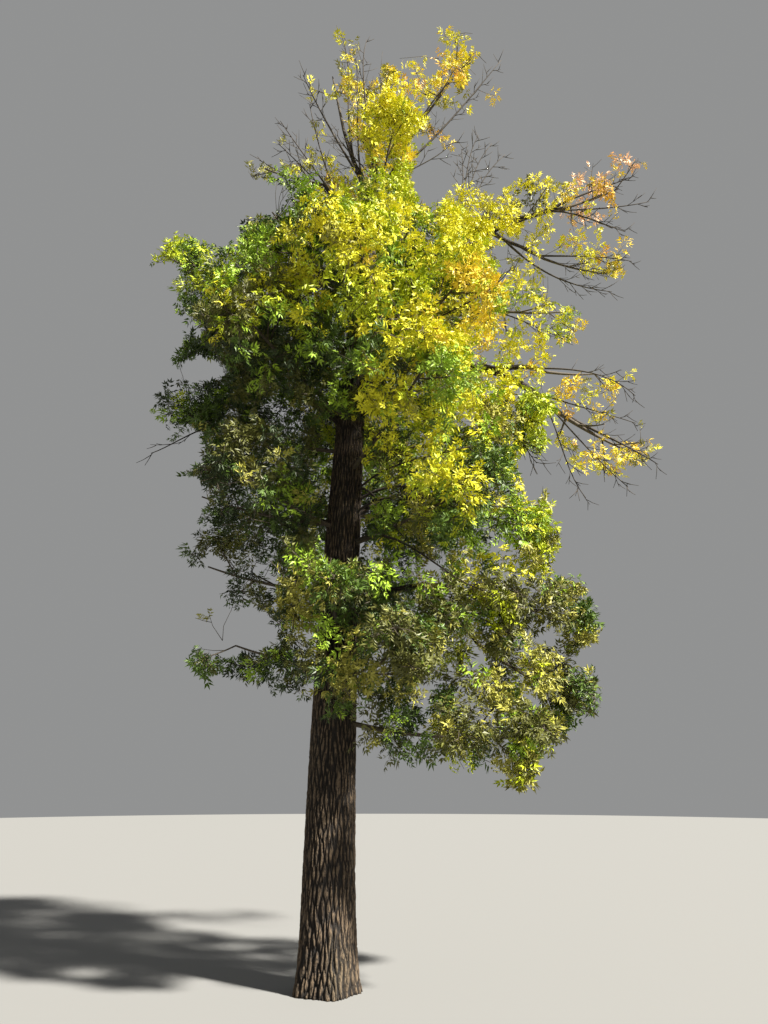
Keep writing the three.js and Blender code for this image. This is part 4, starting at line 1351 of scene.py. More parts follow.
# %% Bare limbs
# on: the limb that this one leaves; at: the share of that limb's length; to: its end, in metres; bow: how
# far its middle is raised; radius: at its root; twigs: how many bare twigs it carries; leafy: the share
# from which it carries leafy shoots, 1 for a dead limb.
BARE_LIMBS = [
    dict(on="bough_leader_left", at=0.35, to=(-0.6, -0.3, 11.35), bow=0.1, radius=0.019, twigs=8),
    dict(on="trunk", at=0.97, to=(0.3, -0.25, 12.1), radius=0.024, twigs=6),
    dict(on="bough_leader_left", at=0.3, to=(0.15, -0.25, 11.75), radius=0.016, twigs=5),
    dict(on="bough_leader_left", at=0.6, to=(-0.1, -0.05, 12.5), radius=0.016, twigs=7),
    dict(on="bough_leader_right", at=0.45, to=(2.3, 0.0, 12.0), bow=-0.15, radius=0.02, twigs=9),
    dict(on="bough_leader_right", at=0.75, to=(1.95, -0.1, 12.05), radius=0.014, twigs=6),
    dict(on="bough_leader_right", at=0.2, to=(1.55, 0.0, 10.45), bow=-0.08, radius=0.011, twigs=4, leafy=1),
    dict(on="trunk", at=0.975, to=(0.0, -0.45, 9.95), radius=0.013, twigs=3, leafy=1),
    dict(on="trunk", at=0.99, to=(-0.1, -0.25, 10.3), radius=0.01, twigs=4, leafy=1),
    dict(on="bough_left_top", at=0.12, to=(-0.5, -0.2, 10.9), bow=0.06, radius=0.02, twigs=6, leafy=1),
    dict(on="bough_left_top", at=0.25, to=(-0.9, -0.2, 10.6), bow=0.05, radius=0.017, twigs=9),
    dict(on="bough_left_top", at=0.45, to=(-0.95, 0.0, 10.4), radius=0.014, twigs=8),
    dict(on="bough_left_top", at=0.6, to=(-1.2, 0.0, 10.1), bow=0.08, radius=0.011, twigs=4, leafy=1),
    dict(on="bough_right_side", at=0.9, to=(1.9, 0.0, 10.55), radius=0.015, twigs=9, leafy=1),
    dict(on="bough_right_side", at=0.98, to=(2.1, 0.1, 10.5), radius=0.013, twigs=8, leafy=1),
    dict(on="bough_right_side", at=1.0, to=(2.3, 0.2, 10.4), bow=-0.05, radius=0.012, twigs=8, leafy=1),
    dict(on="bough_right_side", at=0.8, to=(1.65, 0.0, 10.3), radius=0.012, twigs=6, leafy=1),
    dict(on="bough_right_upper", at=0.95, to=(4.1, 0.2, 10.0), radius=0.02, twigs=7),
    dict(on="bough_right_upper", at=0.86, to=(3.85, 0.1, 8.95), bow=0.16, radius=0.017, twigs=9),
    dict(on="bough_right_upper", at=0.99, to=(4.3, 0.25, 9.6), bow=-0.06, radius=0.013, twigs=5, leafy=1),
    dict(on="bough_right_fork", at=0.9, to=(4.0, 0.4, 8.7), bow=0.08, radius=0.014, twigs=6),
    dict(on="bough_right_fork", at=0.25, to=(3.6, 0.2, 8.05), bow=-0.12, radius=0.017, twigs=10, leafy=1),
    dict(on="bough_right_fork", at=0.5, to=(3.5, 0.2, 8.35), bow=-0.08, radius=0.012, twigs=7, leafy=1),
    dict(on="bough_right_second", at=0.9, to=(2.95, 0.4, 7.45), radius=0.012, twigs=8),
    dict(on="bough_great_fork", at=0.8, to=(3.85, 0.5, 6.65), bow=0.06, radius=0.014, twigs=8),
    dict(on="bough_right_great", at=1.0, to=(4.15, 0.8, 5.8), bow=0.05, radius=0.028, twigs=8),
    dict(on="bough_right_great", at=0.93, to=(3.1, 0.6, 5.25), bow=0.1, radius=0.012, twigs=7, leafy=1),
    dict(on="bough_right_great", at=0.99, to=(3.65, 0.6, 5.4), bow=-0.03, radius=0.013, twigs=8, leafy=1),
    dict(on="bough_right_great", at=0.85, to=(3.85, 0.6, 6.3), radius=0.013, twigs=6),
    dict(on="foliage_right_under", at=0.85, to=(2.45, 0.3, 5.6), radius=0.009, twigs=7, leafy=1),
    dict(on="foliage_left_dark", at=0.8, to=(-2.25, 0.0, 5.6), bow=0.03, radius=0.012, twigs=3, leafy=1),
    dict(on="trunk", at=0.52, to=(0.8, -0.5, 4.35), bow=0.05, radius=0.021, twigs=2, leafy=1),
    dict(on="trunk", at=0.5, to=(1.6, -0.6, 4.8), bow=0.16, radius=0.019, twigs=4, leafy=1),
    dict(on="trunk", at=0.47, to=(1.9, -1.0, 4.55), bow=0.15, radius=0.016, twigs=4, leafy=1),
    dict(on="trunk", at=0.51, to=(1.45, -1.3, 5.1), bow=0.05, radius=0.015, twigs=4, leafy=1),
    dict(on="trunk", at=0.45, to=(1.65, -1.0, 3.65), bow=-0.05, radius=0.02, twigs=4, leafy=1),
    dict(on="trunk", at=0.54, to=(0.75, -1.0, 5.35), radius=0.012, twigs=2, leafy=1),
    dict(on="foliage_front_mid", at=0.5, to=(0.8, -1.6, 5.8), bow=0.05, radius=0.011, twigs=3, leafy=1),
    dict(on="foliage_front_left", at=0.7, to=(0.45, -1.65, 7.1), bow=0.05, radius=0.011, twigs=4, leafy=1),
    dict(on="foliage_front_right", at=0.4, to=(1.95, -1.4, 7.2), bow=0.1, radius=0.011, twigs=4, leafy=1),
]
BARE_CROOK = 0.05
LIMB_TWIG_STEP = 0.12
LIMB_TWIG_LENGTH = 0.26
LIMB_LEAFY_FROM = 0.35
LIMB_LEAFY_TO = 0.85
LIMB_SPRAYS = 200000
AWAY_AND_UP = [0.0, 1.0, 0.2]


def bare_curve(row):
    """Controls of a bare limb: it sets out along its parent, and the bow raises its two middle controls."""
    root, along = point_and_way(limbs[row["on"]].line, row["at"], STEP_BACK)
    tip = np.array(row["to"])
    run = tip - root
    length = np.linalg.norm(run)
    lift = UP * row.get("bow", 0.0)
    first = root + unit(run / length + along) * length / 3 + lift + rng.normal(0, BARE_CROOK, 3) * length
    second = tip - run / 3 + lift + rng.normal(0, BARE_CROOK, 3) * length
    return np.array([root, first, second, tip])


bare_curves = np.array([bare_curve(row) for row in BARE_LIMBS])
for row, curve in zip(BARE_LIMBS, bare_curves):
    step = LIMB_TWIG_STEP / float(np.linalg.norm(curve[3] - curve[0]))
    for number, place in enumerate(np.arange(row.get("leafy", LIMB_LEAFY_FROM), LIMB_LEAFY_TO, step)):
        root, ahead = point_and_way(line_of(curve), place, SHORT_STEP_BACK)
        aside = unit(np.cross(ahead, AWAY_AND_UP))
        way, _ = side_way(ahead, aside, golden(number), BOUGH_TWIG_SPREAD)
        tip = rising_tip(root, way, LIMB_TWIG_LENGTH)
        shoots.append((shoot_curve(root, way, tip), nearest_mass(tip), LIMB_SPRAYS + len(shoots), True))
print("bare limbs:", len(BARE_LIMBS), "shoots now:", len(shoots))

# %% [markdown]
# The sprays leave pockets of air between the masses, and in a real crown that is just where new shoots
# grow. So the heart of the crown is cut into small cells, and each cell that has room and no shoot in it
# yet gets one, from the nearest wood of the mass it belongs to.

# %% Shoots that fill the pockets
CELL = 0.28
CELL_STRAY = 0.7
CELLS_IN_ROW = 500
BLOCK_CELLS = 2
FILL_FROM_TRUNK = 0.4
FILL_LONGEST = 1.0
FILL_SIDES = (0.6,)
FILL_SIDE_LENGTH = 0.24
TAKEN_SHARES = np.linspace(0.4, 1, 4)
STEM_WOOD_SHARES = np.linspace(0.15, 0.9, 12)
SHOOT_WOOD_SHARES = (0.3, 0.6)

core_centres = np.array([core["centre"] for core in CORES.values()])
core_reaches = np.array([core["reach"] for core in CORES.values()])
low, high = (core_centres - core_reaches).min(axis=0), (core_centres + core_reaches).max(axis=0)
cell_counts = np.ceil((high - low) / CELL).astype(int)


def cell_number(points, size=1):
    """A whole number for the cell that holds each point, or for a block of cells size wide."""
    steps = np.floor((points - low) / (CELL * size)).astype(int)
    return (steps[:, 0] * CELLS_IN_ROW + steps[:, 1]) * CELLS_IN_ROW + steps[:, 2]


grid = np.stack(np.meshgrid(*[np.arange(count) for count in cell_counts], indexing="ij"), axis=-1)
stray = CELL_STRAY * (rng.random((grid.size // 3, 3)) - 0.5)
spots = low + (grid.reshape(-1, 3) + 0.5 + stray) * CELL
taken = np.concatenate([bezier(curve, TAKEN_SHARES) for curve, *_ in shoots])
from_axis = np.linalg.norm(spots - axis_at(spots[:, 2]), axis=1)
free = (core_edge(spots) > SPACE_SLACK) & has_room(spots) & (from_axis > FILL_FROM_TRUNK)
free &= ~np.isin(cell_number(spots), cell_number(taken))
spots = spots[free]
owner = shares_of_spaces(spots).argmin(axis=1)
filled = 0
for mass, stem in enumerate(stems):
    own = np.array([curve for curve, number, *_ in shoots if number == mass])
    stem_points = sagging(stem, STEM_WOOD_SHARES)
    wood = np.concatenate([bezier(own, SHOOT_WOOD_SHARES).reshape(-1, 3), stem_points])
    for spot in spots[owner == mass]:
        distances = np.linalg.norm(wood - spot, axis=1)
        root = wood[distances.argmin()]
        if distances.min() > FILL_LONGEST or not clear_of_limbs(stem, spot[None], LEAF_MARGIN)[0]:
            continue
        curve = shoot_curve(root, unit(stem.ahead + unit(spot - root)), spot)
        block = -int(cell_number(spot[None], BLOCK_CELLS)[0]) - 1
        spray = [curve, *fork(stem, curve, FILL_SIDES, SIDE_SPREAD, FILL_SIDE_LENGTH)]
        shoots += [(part, mass, block, False) for part in spray]
        filled += 1
print("free cells:", len(spots), "filled:", filled, "shoots now:", len(shoots))

# %% [markdown]
# All this wood is thinner than an arm, so plain tubes serve: eight sides for a stem, five for a twig and
# three for a shoot, which is too thin to show its corners. Curves with a bevel would be shorter to write,
# but in the end they would have to become meshes too, and that is slow for so many.

# %% Wood of the stems, twigs and shoots
STEM_SIDES, STEM_RINGS = 8, 14
TWIG_SIDES, TWIG_RINGS = 5, 6
SHOOT_SIDES, SHOOT_RINGS = 3, 3
SHOOT_ROOT_RADIUS = 4.2 * MM
SHOOT_TIP_RADIUS = 2.2 * MM
SLIVER = [1e-3, 0, 0]


def level_across(ways):
    """A level direction across each way. The sliver helps where a way runs straight up."""
    return unit(np.cross(ways, UP) + SLIVER)


def wood_of(name, curves, first, last, sides, rings):
    """A piece with a tube round each curve, of radius first x (1 - share) + last x share."""
    share = np.linspace(0, 1, rings)
    first, last = (np.broadcast_to(radius, (len(curves),))[:, None] for radius in (first, last))
    radii = first * (1 - share) + last * share
    across = level_across(curves[:, 3] - curves[:, 0])
    return new_piece(name, *tubes(bezier(curves, share), radii, across, sides))


stem_shares = np.linspace(0, 1, STEM_RINGS)
stem_paths = np.array([sagging(stem, stem_shares * stem.clear_to) for stem in stems])
stem_radii = np.array([stem.radius_at(stem_shares) for stem in stems])
stem_sides = np.array([stem.sideways for stem in stems])
stem_wood = new_piece("stems_bark", *tubes(stem_paths, stem_radii, stem_sides, STEM_SIDES))

curves = np.array([curve for curve, _ in twig_curves])
root_radii = np.array([radius for _, radius in twig_curves])
twig_wood = wood_of("twigs_bark", curves, root_radii, TWIG_TIP_RADIUS, TWIG_SIDES, TWIG_RINGS)

shoot_curves = np.array([curve for curve, *_ in shoots])
shoot_mass = np.array([mass for _, mass, _, _ in shoots])
shoot_spray = np.array([spray for _, _, spray, _ in shoots])
shoot_anywhere = np.array([anywhere for *_, anywhere in shoots])
shoot_wood = wood_of(
    "shoots_bark", shoot_curves, SHOOT_ROOT_RADIUS, SHOOT_TIP_RADIUS, SHOOT_SIDES, SHOOT_RINGS
)

# %% [markdown]
# ## Dead twigs
#
# Bare twigs leave the outer part of each bare limb on alternate sides, and each of them carries two finer
# ones. They are what makes an old ash's top look ragged against the sky, so they are real wood here.

# %% Dead twigs
BARE_TIP_RADIUS = 5 * MM
BARE_SIDES, BARE_RINGS = 6, 12
DEAD_FROM = 0.5
DEAD_TO = 0.97
DEAD_LENGTH = 0.34
DEAD_SHORTENS_FROM = 1.25
DEAD_LEAST = 0.6
DEAD_VARIES = 0.9
DEAD_SPREAD = 30
DEAD_SPREAD_STRAY = 8
DEAD_TURN_STRAY = 0.5
DEAD_FORKS = (0.4, 0.7)
DEAD_FORK_LENGTH = 0.14
DEAD_FORK_LEAST = 0.5
DEAD_FORK_STRAY = 0.2
DEAD_ROOT_RADIUS = 5.5 * MM
DEAD_TIP_RADIUS = 3 * MM


def dead_twigs(curve, count):
    """Bare twigs on alternate sides of the outer part of a curve, each with two finer twigs of its own.

    Each is length x (DEAD_SHORTENS_FROM - its place) x a share of its own long.
    """
    twigs = []
    for number, place in enumerate(np.linspace(DEAD_FROM, DEAD_TO, count)):
        root, ahead = point_and_way(line_of(curve), place, STEP_BACK)
        turn = np.pi * number + rng.normal(0, DEAD_TURN_STRAY)
        spread = DEAD_SPREAD + rng.normal(0, DEAD_SPREAD_STRAY)
        way, outward = side_way(ahead, unit(np.cross(ahead, AWAY_AND_UP)), turn, spread)
        length = DEAD_LEAST + DEAD_VARIES * rng.random()
        main = shoot_curve(root, way, root + way * DEAD_LENGTH * (DEAD_SHORTENS_FROM - place) * length)
        twigs.append(main)
        for fork_number, fork_place in enumerate(DEAD_FORKS):
            fork_root = bezier(main, fork_place)
            fork_way = blend(way, outward * (-1) ** fork_number, np.radians(DEAD_SPREAD))
            fork_way = unit(fork_way + DEAD_FORK_STRAY * rng.normal(0, 1, 3))
            length = DEAD_FORK_LEAST + DEAD_VARIES * rng.random()
            fork_tip = fork_root + fork_way * DEAD_FORK_LENGTH * length
            twigs.append(shoot_curve(fork_root, fork_way, fork_tip))
    return twigs


bare_radii = np.array([row["radius"] for row in BARE_LIMBS])
bare_wood = wood_of("bare_limbs_bark", bare_curves, bare_radii, BARE_TIP_RADIUS, BARE_SIDES, BARE_RINGS)
dead_curves = []
for row, curve in zip(BARE_LIMBS, bare_curves):
    dead_curves += dead_twigs(curve, row["twigs"])
dead_wood = wood_of(
    "dead_twigs_bark", np.array(dead_curves), DEAD_ROOT_RADIUS, DEAD_TIP_RADIUS, SHOOT_SIDES, SHOOT_RINGS
)

# %% [markdown]
# ## The broken bough
#
# One bough on the front of the trunk has snapped. Its end shows splintered brown wood: rings that close
# from the bark to the middle, each pushed out by its own uneven amount. A flat cut would look sawn off.

# %% Broken end
# width: a ring's radius as a share of the stub's; forward: how far it lies past the stub's end; splinter:
# how far beyond that the longest splinters stand.
SPLINTER_RINGS = (
    dict(width=1.0, forward=-0.02, splinter=0.0),
    dict(width=1.0, forward=0.015, splinter=0.05),
    dict(width=0.82, forward=0.03, splinter=0.11),
    dict(width=0.55, forward=0.02, splinter=0.13),
    dict(width=0.25, forward=0.03, splinter=0.1),
)
SPLINTER_COLUMNS = 28
SPLINTER_FIT = 1.03
STUB_END_STEP = 0.03

stub = limbs["bough_broken"]
stub_end, stub_ahead = point_and_way(stub.line, 1.0, STUB_END_STEP)
stub_across = unit(stub.sideways - stub_ahead * (stub.sideways @ stub_ahead))
stub_over = np.cross(stub_ahead, stub_across)
angles = np.linspace(0, 2 * np.pi, SPLINTER_COLUMNS, endpoint=False)[:, None]
around_stub = stub_across * np.cos(angles) + stub_over * np.sin(angles)
rings = []
for ring in SPLINTER_RINGS:
    forward = ring["forward"] + ring["splinter"] * rng.random((SPLINTER_COLUMNS, 1)) ** 2
    outward = around_stub * ring["width"] * SPLINTER_FIT * stub.radii[-1]
    rings.append(stub_end + outward + stub_ahead * forward)
broken_end = new_piece(
    "broken_end", np.concatenate(rings), ring_faces(len(rings), SPLINTER_COLUMNS), smooth=False
)

# %% [markdown]
# ## Leaves
#
# An ash leaf is compound: a thin stalk with two or three pairs of leaflets and one at its end. Each
# leaflet is a lance shape folded along its midrib, so two triangles give its outline and catch the light
# on two faces. Each has its own slight roll, so that one leaf glints in several places, as the real ones
# do. A picture of a leaf on a flat card would have fewer points, but it would look flat from near by.

# %% Leaf shapes
LEAF_FORMS = (
    dict(places=(0.32, 0.6), length=0.42),
    dict(places=(0.26, 0.45, 0.64), length=0.38),
)
LEAF_KINDS = 8
STALK_WIDTH = 0.014
LEAFLET_HALF_WIDTH = 0.18
LEAFLET_WIDEST = 0.42
LEAFLET_LEAST = 0.85
LEAFLET_VARIES = 0.25
LEAFLET_FOLD = 0.3
LEAFLET_ROLL = 0.8
LEAFLET_DROOP = 0.7
LEAFLET_LIFT = 0.1
LEAFLET_ANGLE = 58
ANGLE_CLOSES = 14
ANGLE_STRAY = 22
END_STRAY = 20
LEAF_SAG = 0.25
SAG_LEAST = 0.4
SAG_VARIES = 1.2


def leaflet(place, angle, length):
    """Four points of a leaflet from its base on the stalk: base, one side, tip, the other side.

    Its height is a fold times the distance from the midrib, a roll times the side, less a droop that grows
    with the square of the distance forward.
    """
    forward = np.array([0, LEAFLET_WIDEST, 1.0, LEAFLET_WIDEST]) * length
    side = np.array([0, -1, 0, 1]) * LEAFLET_HALF_WIDTH * length
    roll = LEAFLET_ROLL * (2 * rng.random() - 1)
    droop = LEAFLET_DROOP * rng.random() - LEAFLET_LIFT
    lift = LEAFLET_FOLD * np.abs(side) + roll * side - droop * forward**2 / length
    turn = np.radians(angle)
    x = place + forward * np.cos(turn) - side * np.sin(turn)
    y = forward * np.sin(turn) + side * np.cos(turn)
    return np.stack([x, y, lift], axis=-1)


def leaf_shape(places, length):
    """A whole leaf of about unit length along +X, its face to +Z, with z lowered by sag x squared."""
    last = places[-1]
    parts = [np.array([[0, -1, 0], [last, 0, 0], [0, 1, 0]]) * [1, STALK_WIDTH / 2, 1]]
    for place in places:
        for side in (-1, 1):
            angle = side * (LEAFLET_ANGLE - ANGLE_CLOSES * place + ANGLE_STRAY * (rng.random() - 0.5))
            share = LEAFLET_LEAST + LEAFLET_VARIES * rng.random()
            parts.append(leaflet(place, angle, length * share))
    parts.append(leaflet(last, END_STRAY * (rng.random() - 0.5), length))
    points = np.concatenate(parts)
    points[:, 2] -= LEAF_SAG * (SAG_LEAST + SAG_VARIES * rng.random()) * points[:, 0] ** 2
    return points


def leaf_triangles(leaflets):
    """Triangles of a leaf: its stalk, and two for each leaflet, either side of the midrib."""
    starts = 3 + 4 * np.arange(leaflets)[:, None, None]
    folded = (np.array([[0, 1, 2], [0, 2, 3]]) + starts).reshape(-1, 3)
    return np.concatenate([[[0, 1, 2]], folded])


leaf_kinds = []
for form in LEAF_FORMS:
    shapes = np.array([leaf_shape(**form) for _ in range(LEAF_KINDS)])
    leaf_kinds.append((shapes, leaf_triangles(2 * len(form["places"]) + 1)))
print("triangles in a leaf:", [len(triangles) for _, triangles in leaf_kinds])

# %% [markdown]
# Ash leaves stand in opposite pairs, each pair a quarter turn from the last, with a pair at the shoot's
# tip. They lean out along the shoot and turn their faces up and outwards, to the light. Every place is
# worked out at once, as one array for all leaves. A leaf whose tip has no room is left out. On the open
# tips of the crown, and in one thin part at the lower left, some shoots stay bare, as in the photo.

# %% Places of the leaves
# BARE_SHARE: the part of a shoot without leaves, next to its root; THIN_SHARE: the share of the shoots of
# the open masses that stay bare, but for those where the crown is as dense as THICK_EDGE.
LEAF_LENGTH = 0.137
SIZE_LEAST = 0.7
SIZE_VARIES = 0.55
TIP_LEAF = 0.92
LENGTH_STEPS = 7
PAIR_SPACING = 0.045
FIRST_PAIR_BACK = 0.01
LOWEST_PAIR = 0.02
BARE_SHARE = 0.2
OPEN_BARE_SHARE = 0.35
THIN_SHARE = 0.45
THICK_EDGE = 2.0
LEAF_SPREAD = 60
LEAF_SPREAD_TIP = 34
LEAF_SPREAD_STRAY = 12
LEAF_TURN_STRAY = 0.3
LEAF_RISE = 0.1
FACE_UP = 0.6
FACE_OUT = 0.4
FACE_STRAY = 0.75
SEVEN_SHARE = 0.35
# The thin part, an ellipse like the gaps of sky: of each LACE_ROUND shoots only LACE_LEAFY keep their
# leaves.
LACE = dict(x=-1.15, y=0.0, z=4.45, wide=0.55, tall=0.9)
LACE_ROUND = 5
LACE_LEAFY = 2

shoot_tips = shoot_curves[:, 3]
measured = np.diff(bezier(shoot_curves, np.linspace(0, 1, LENGTH_STEPS)), axis=1)
lengths = np.linalg.norm(measured, axis=-1).sum(axis=1)
open_mass = np.array([stem.open for stem in stems])
bare = np.where(open_mass[shoot_mass], OPEN_BARE_SHARE, BARE_SHARE)
pairs = np.floor((1 - bare) * lengths / PAIR_SPACING + rng.random(len(shoots))).astype(int) + 1
shoot = np.repeat(np.arange(len(shoots)), pairs)
order = np.arange(len(shoot)) - np.repeat(np.cumsum(pairs) - pairs, pairs)
shoot, order = np.repeat(shoot, 2), np.repeat(order, 2)
side = np.tile([1.0, -1.0], len(shoot) // 2)
count = len(shoot)


def along_shoots(share):
    """The point of each leaf's shoot at its own share."""
    return (curve_weights(share)[:, None] @ shoot_curves[shoot])[:, 0]


place = np.clip(1 - order * PAIR_SPACING / lengths[shoot] - FIRST_PAIR_BACK, LOWEST_PAIR, 1)
base, ahead = point_and_way(along_shoots, place, SHORT_STEP_BACK)
level = level_across(ahead)
quarter = np.radians(90 * order + 360 * rng.random(len(shoots))[shoot])[:, None]
around = quarter + rng.normal(0, LEAF_TURN_STRAY, (count, 1))
outward = blend(level, np.cross(level, ahead), around) * side[:, None]
spread = np.where(order == 0, LEAF_SPREAD_TIP, LEAF_SPREAD) + rng.normal(0, LEAF_SPREAD_STRAY, count)
way = unit(blend(ahead, outward, np.radians(spread)[:, None]) + UP * LEAF_RISE)

from_centre = unit(base - centres[shoot_mass[shoot]])
face = UP * FACE_UP + from_centre * FACE_OUT + rng.normal(0, FACE_STRAY, (count, 3))
face = unit(face - way * np.sum(face * way, axis=1, keepdims=True))
size = LEAF_LENGTH * (SIZE_LEAST + SIZE_VARIES * rng.random(count)) * np.where(order == 0, TIP_LEAF, 1.0)
tips = base + way * size[:, None]
kept = has_room(tips) | (shoot_anywhere[shoot] & ~left_open(tips))
bare_shoots = (rng.random(len(shoots)) < THIN_SHARE) & open_mass[shoot_mass]
bare_shoots &= core_edge(shoot_tips) < THICK_EDGE
bare_shoots |= (from_middle(shoot_tips, LACE) < 1) & (np.arange(len(shoots)) % LACE_ROUND >= LACE_LEAFY)
kept &= ~bare_shoots[shoot]
family = (rng.random(count) < SEVEN_SHARE).astype(int)
print("leaves:", count, "with room:", int(kept.sum()))

# %% [markdown]
# ## Autumn tints
#
# An ash turns from its tips inwards: the shaded left side is still deep green, the right side has gone
# lime and yellow, and the tips that the sun and wind reach are gold, some with a pinkish blush. The tints
# also carry painted light and shade: the masses on the shaded left get darker greens than their leaves
# have, and the sunlit ones paler, yellower tints for the sun that shines through and glints on them. Each
# mass has a mix of tints. Each shoot takes the tint that its spray has drawn, or strays and draws from the
# mix of the next mass, so that no border shows. Shoots deep in the crown turn last, so most of them are
# still green, and they also get darker greens as painted shade. A tint is a plain base colour, and the
# leaves of one tint are joined into one piece, or into a second where one would be too large. One leaf
# material with a colour for each point would need fewer, but plain colours are the easiest to change.

# %% Tints and mixes
# code: the colour as six hex digits; slot: the slot of the record that it belongs to.
# The paler tints, lime to blush, are partly painted light: brighter and yellower than the leaves' own
# colours, for the sun that shines through and glints on them.
TINTS = {
    "deep_green": dict(code="2b3916", slot="leaf_deep"),
    "leaf_green": dict(code="4b621e", slot="leaf_green"),
    "fresh_green": dict(code="86a12a", slot="leaf_green"),
    "olive": dict(code="575924", slot="leaf_olive"),
    "olive_light": dict(code="93903a", slot="leaf_olive"),
    "lime": dict(code="adb820", slot="leaf_lime"),
    "yellow_green": dict(code="ccc828", slot="leaf_lime"),
    "yellow": dict(code="e0d832", slot="leaf_yellow"),
    "gold": dict(code="e2c93c", slot="leaf_gold"),
    "amber": dict(code="dab146", slot="leaf_gold"),
    "blush": dict(code="e6bf98", slot="leaf_blush"),
}
# The share of each tint among the sprays of a mass with that mix. The mixes deep, green and olive, mostly
# on the shaded left, hold more deep green than the leaves have, as painted shade; fresh, on the sunlit far
# left, and the lime to blush mixes are partly painted light, paler and yellower for the sun on the leaves.
MIXES = {
    "deep": dict(deep_green=0.5, leaf_green=0.35, olive=0.15),
    "fresh": dict(fresh_green=0.55, lime=0.25, leaf_green=0.2),
    "leafy": dict(leaf_green=0.35, fresh_green=0.4, deep_green=0.2, lime=0.05),
    "mellow": dict(fresh_green=0.25, lime=0.25, olive_light=0.15, leaf_green=0.15, yellow_green=0.2),
    "low": dict(olive=0.3, leaf_green=0.2, fresh_green=0.05, olive_light=0.3, lime=0.15),
    "green": dict(leaf_green=0.4, fresh_green=0.25, deep_green=0.3, lime=0.05),
    "olive": dict(olive=0.25, leaf_green=0.3, olive_light=0.15, fresh_green=0.1, deep_green=0.2),
    "straw": dict(olive_light=0.4, olive=0.35, fresh_green=0.1, leaf_green=0.15),
    "russet": dict(olive_light=0.4, yellow_green=0.25, yellow=0.25, olive=0.1),
    "lime": dict(fresh_green=0.25, lime=0.35, yellow_green=0.25, yellow=0.1, olive_light=0.05),
    "yellow": dict(lime=0.2, yellow_green=0.3, yellow=0.3, gold=0.15, fresh_green=0.05),
    "turning": dict(yellow_green=0.3, yellow=0.35, gold=0.15, lime=0.2),
    "gold": dict(yellow=0.3, gold=0.35, yellow_green=0.1, amber=0.1, olive_light=0.15),
    "blush": dict(gold=0.35, blush=0.3, amber=0.1, yellow=0.25),
}
# The mix of the shade, and where it is: near the trunk's line and below a height, or deep within a space.
# It is partly the greener leaves that turn last and partly painted shade: darker greens where the crown's
# own shade falls.
SHADE = dict(leaf_green=0.4, deep_green=0.35, olive=0.25)
SHADE_RADIUS = 1.0
SHADE_TOP = 8.4
SHADE_WITHIN = 0.5
SHADE_SHARE = 0.8
SHOOT_STRAYS = 0.3
tint_names = list(TINTS)


def draw_tints(mass_of_each):
    """A tint number for each item from its mass's mix: the first whose running share passes a draw."""
    shares = np.array([[MIXES[stem.tint].get(name, 0) for name in tint_names] for stem in stems])
    running = np.cumsum(shares, axis=1)[mass_of_each]
    return np.argmax(running >= rng.random(len(mass_of_each))[:, None] * running[:, -1:], axis=1)


tip_shares = shares_of_spaces(shoot_tips)
neighbour = np.argsort(tip_shares, axis=1)[:, 1]
neighbour = np.where(open_mass[shoot_mass] | open_mass[neighbour], shoot_mass, neighbour)
_, first_of_spray, spray_of_shoot = np.unique(shoot_spray, return_index=True, return_inverse=True)
spray_tints = draw_tints(shoot_mass[first_of_spray])
strays = rng.random(len(shoots)) < SHOOT_STRAYS
shoot_tint = np.where(strays, draw_tints(neighbour), spray_tints[spray_of_shoot])
from_axis = shoot_tips - axis_at(shoot_tips[:, 2])
in_painted_shade = np.hypot(from_axis[:, 0], from_axis[:, 1]) < SHADE_RADIUS
in_painted_shade &= tip_shares.min(axis=1) < core_edge(shoot_tips)
in_painted_shade |= tip_shares.min(axis=1) < SHADE_WITHIN
in_painted_shade &= ~open_mass[shoot_mass] & (rng.random(len(shoots)) < SHADE_SHARE)
in_painted_shade &= shoot_tips[:, 2] < SHADE_TOP
shade_draw = rng.choice(len(tint_names), len(shoots), p=[SHADE.get(name, 0) for name in tint_names])
# Shoots in the crown's shade take darker greens from the shade's mix: painted shade.
shoot_tint = np.where(in_painted_shade, shade_draw, shoot_tint)
print("sprays:", len(first_of_spray), "shoots in the shade:", int(in_painted_shade.sum()))
print("shoots of each tint:", dict(zip(tint_names, np.bincount(shoot_tint, minlength=len(tint_names)))))

# %% [markdown]
# Now every leaf has its place, its way, its size and its tint. Each takes one of the eight shapes of its
# kind, turned and scaled by its own three directions, and the leaves of one tint become one mesh. Fifty
# thousand copies of a leaf object would look the same, but a dozen meshes are far quicker to handle. A
# leaf is a little glossy, so the shader keeps a low, soft shine on it.

# %% Leaf pieces
LEAF_ROUGHNESS = 0.5
LEAF_SHINE = 0.35
PIECE_LEAVES = 10000

kind = rng.integers(0, LEAF_KINDS, count)
leaf_frames = np.stack([way, np.cross(face, way), face], axis=1)
leaf_counts = {}


def leaf_mesh(lot):
    """Points and faces of the leaves of one lot: base + size x (x way + y side + z face) for each point."""
    points, triangles, start = [], [], 0
    for number, (shapes, own_triangles) in enumerate(leaf_kinds):
        part = lot[family[lot] == number]
        shape = shapes[kind[part]] * size[part][:, None, None]
        points.append((base[part][:, None] + shape @ leaf_frames[part]).reshape(-1, 3))
        corners = own_triangles + np.arange(len(part))[:, None, None] * shapes.shape[1] + start
        triangles.append(corners.reshape(-1, 3))
        start += len(part) * shapes.shape[1]
    return np.concatenate(points), triangles


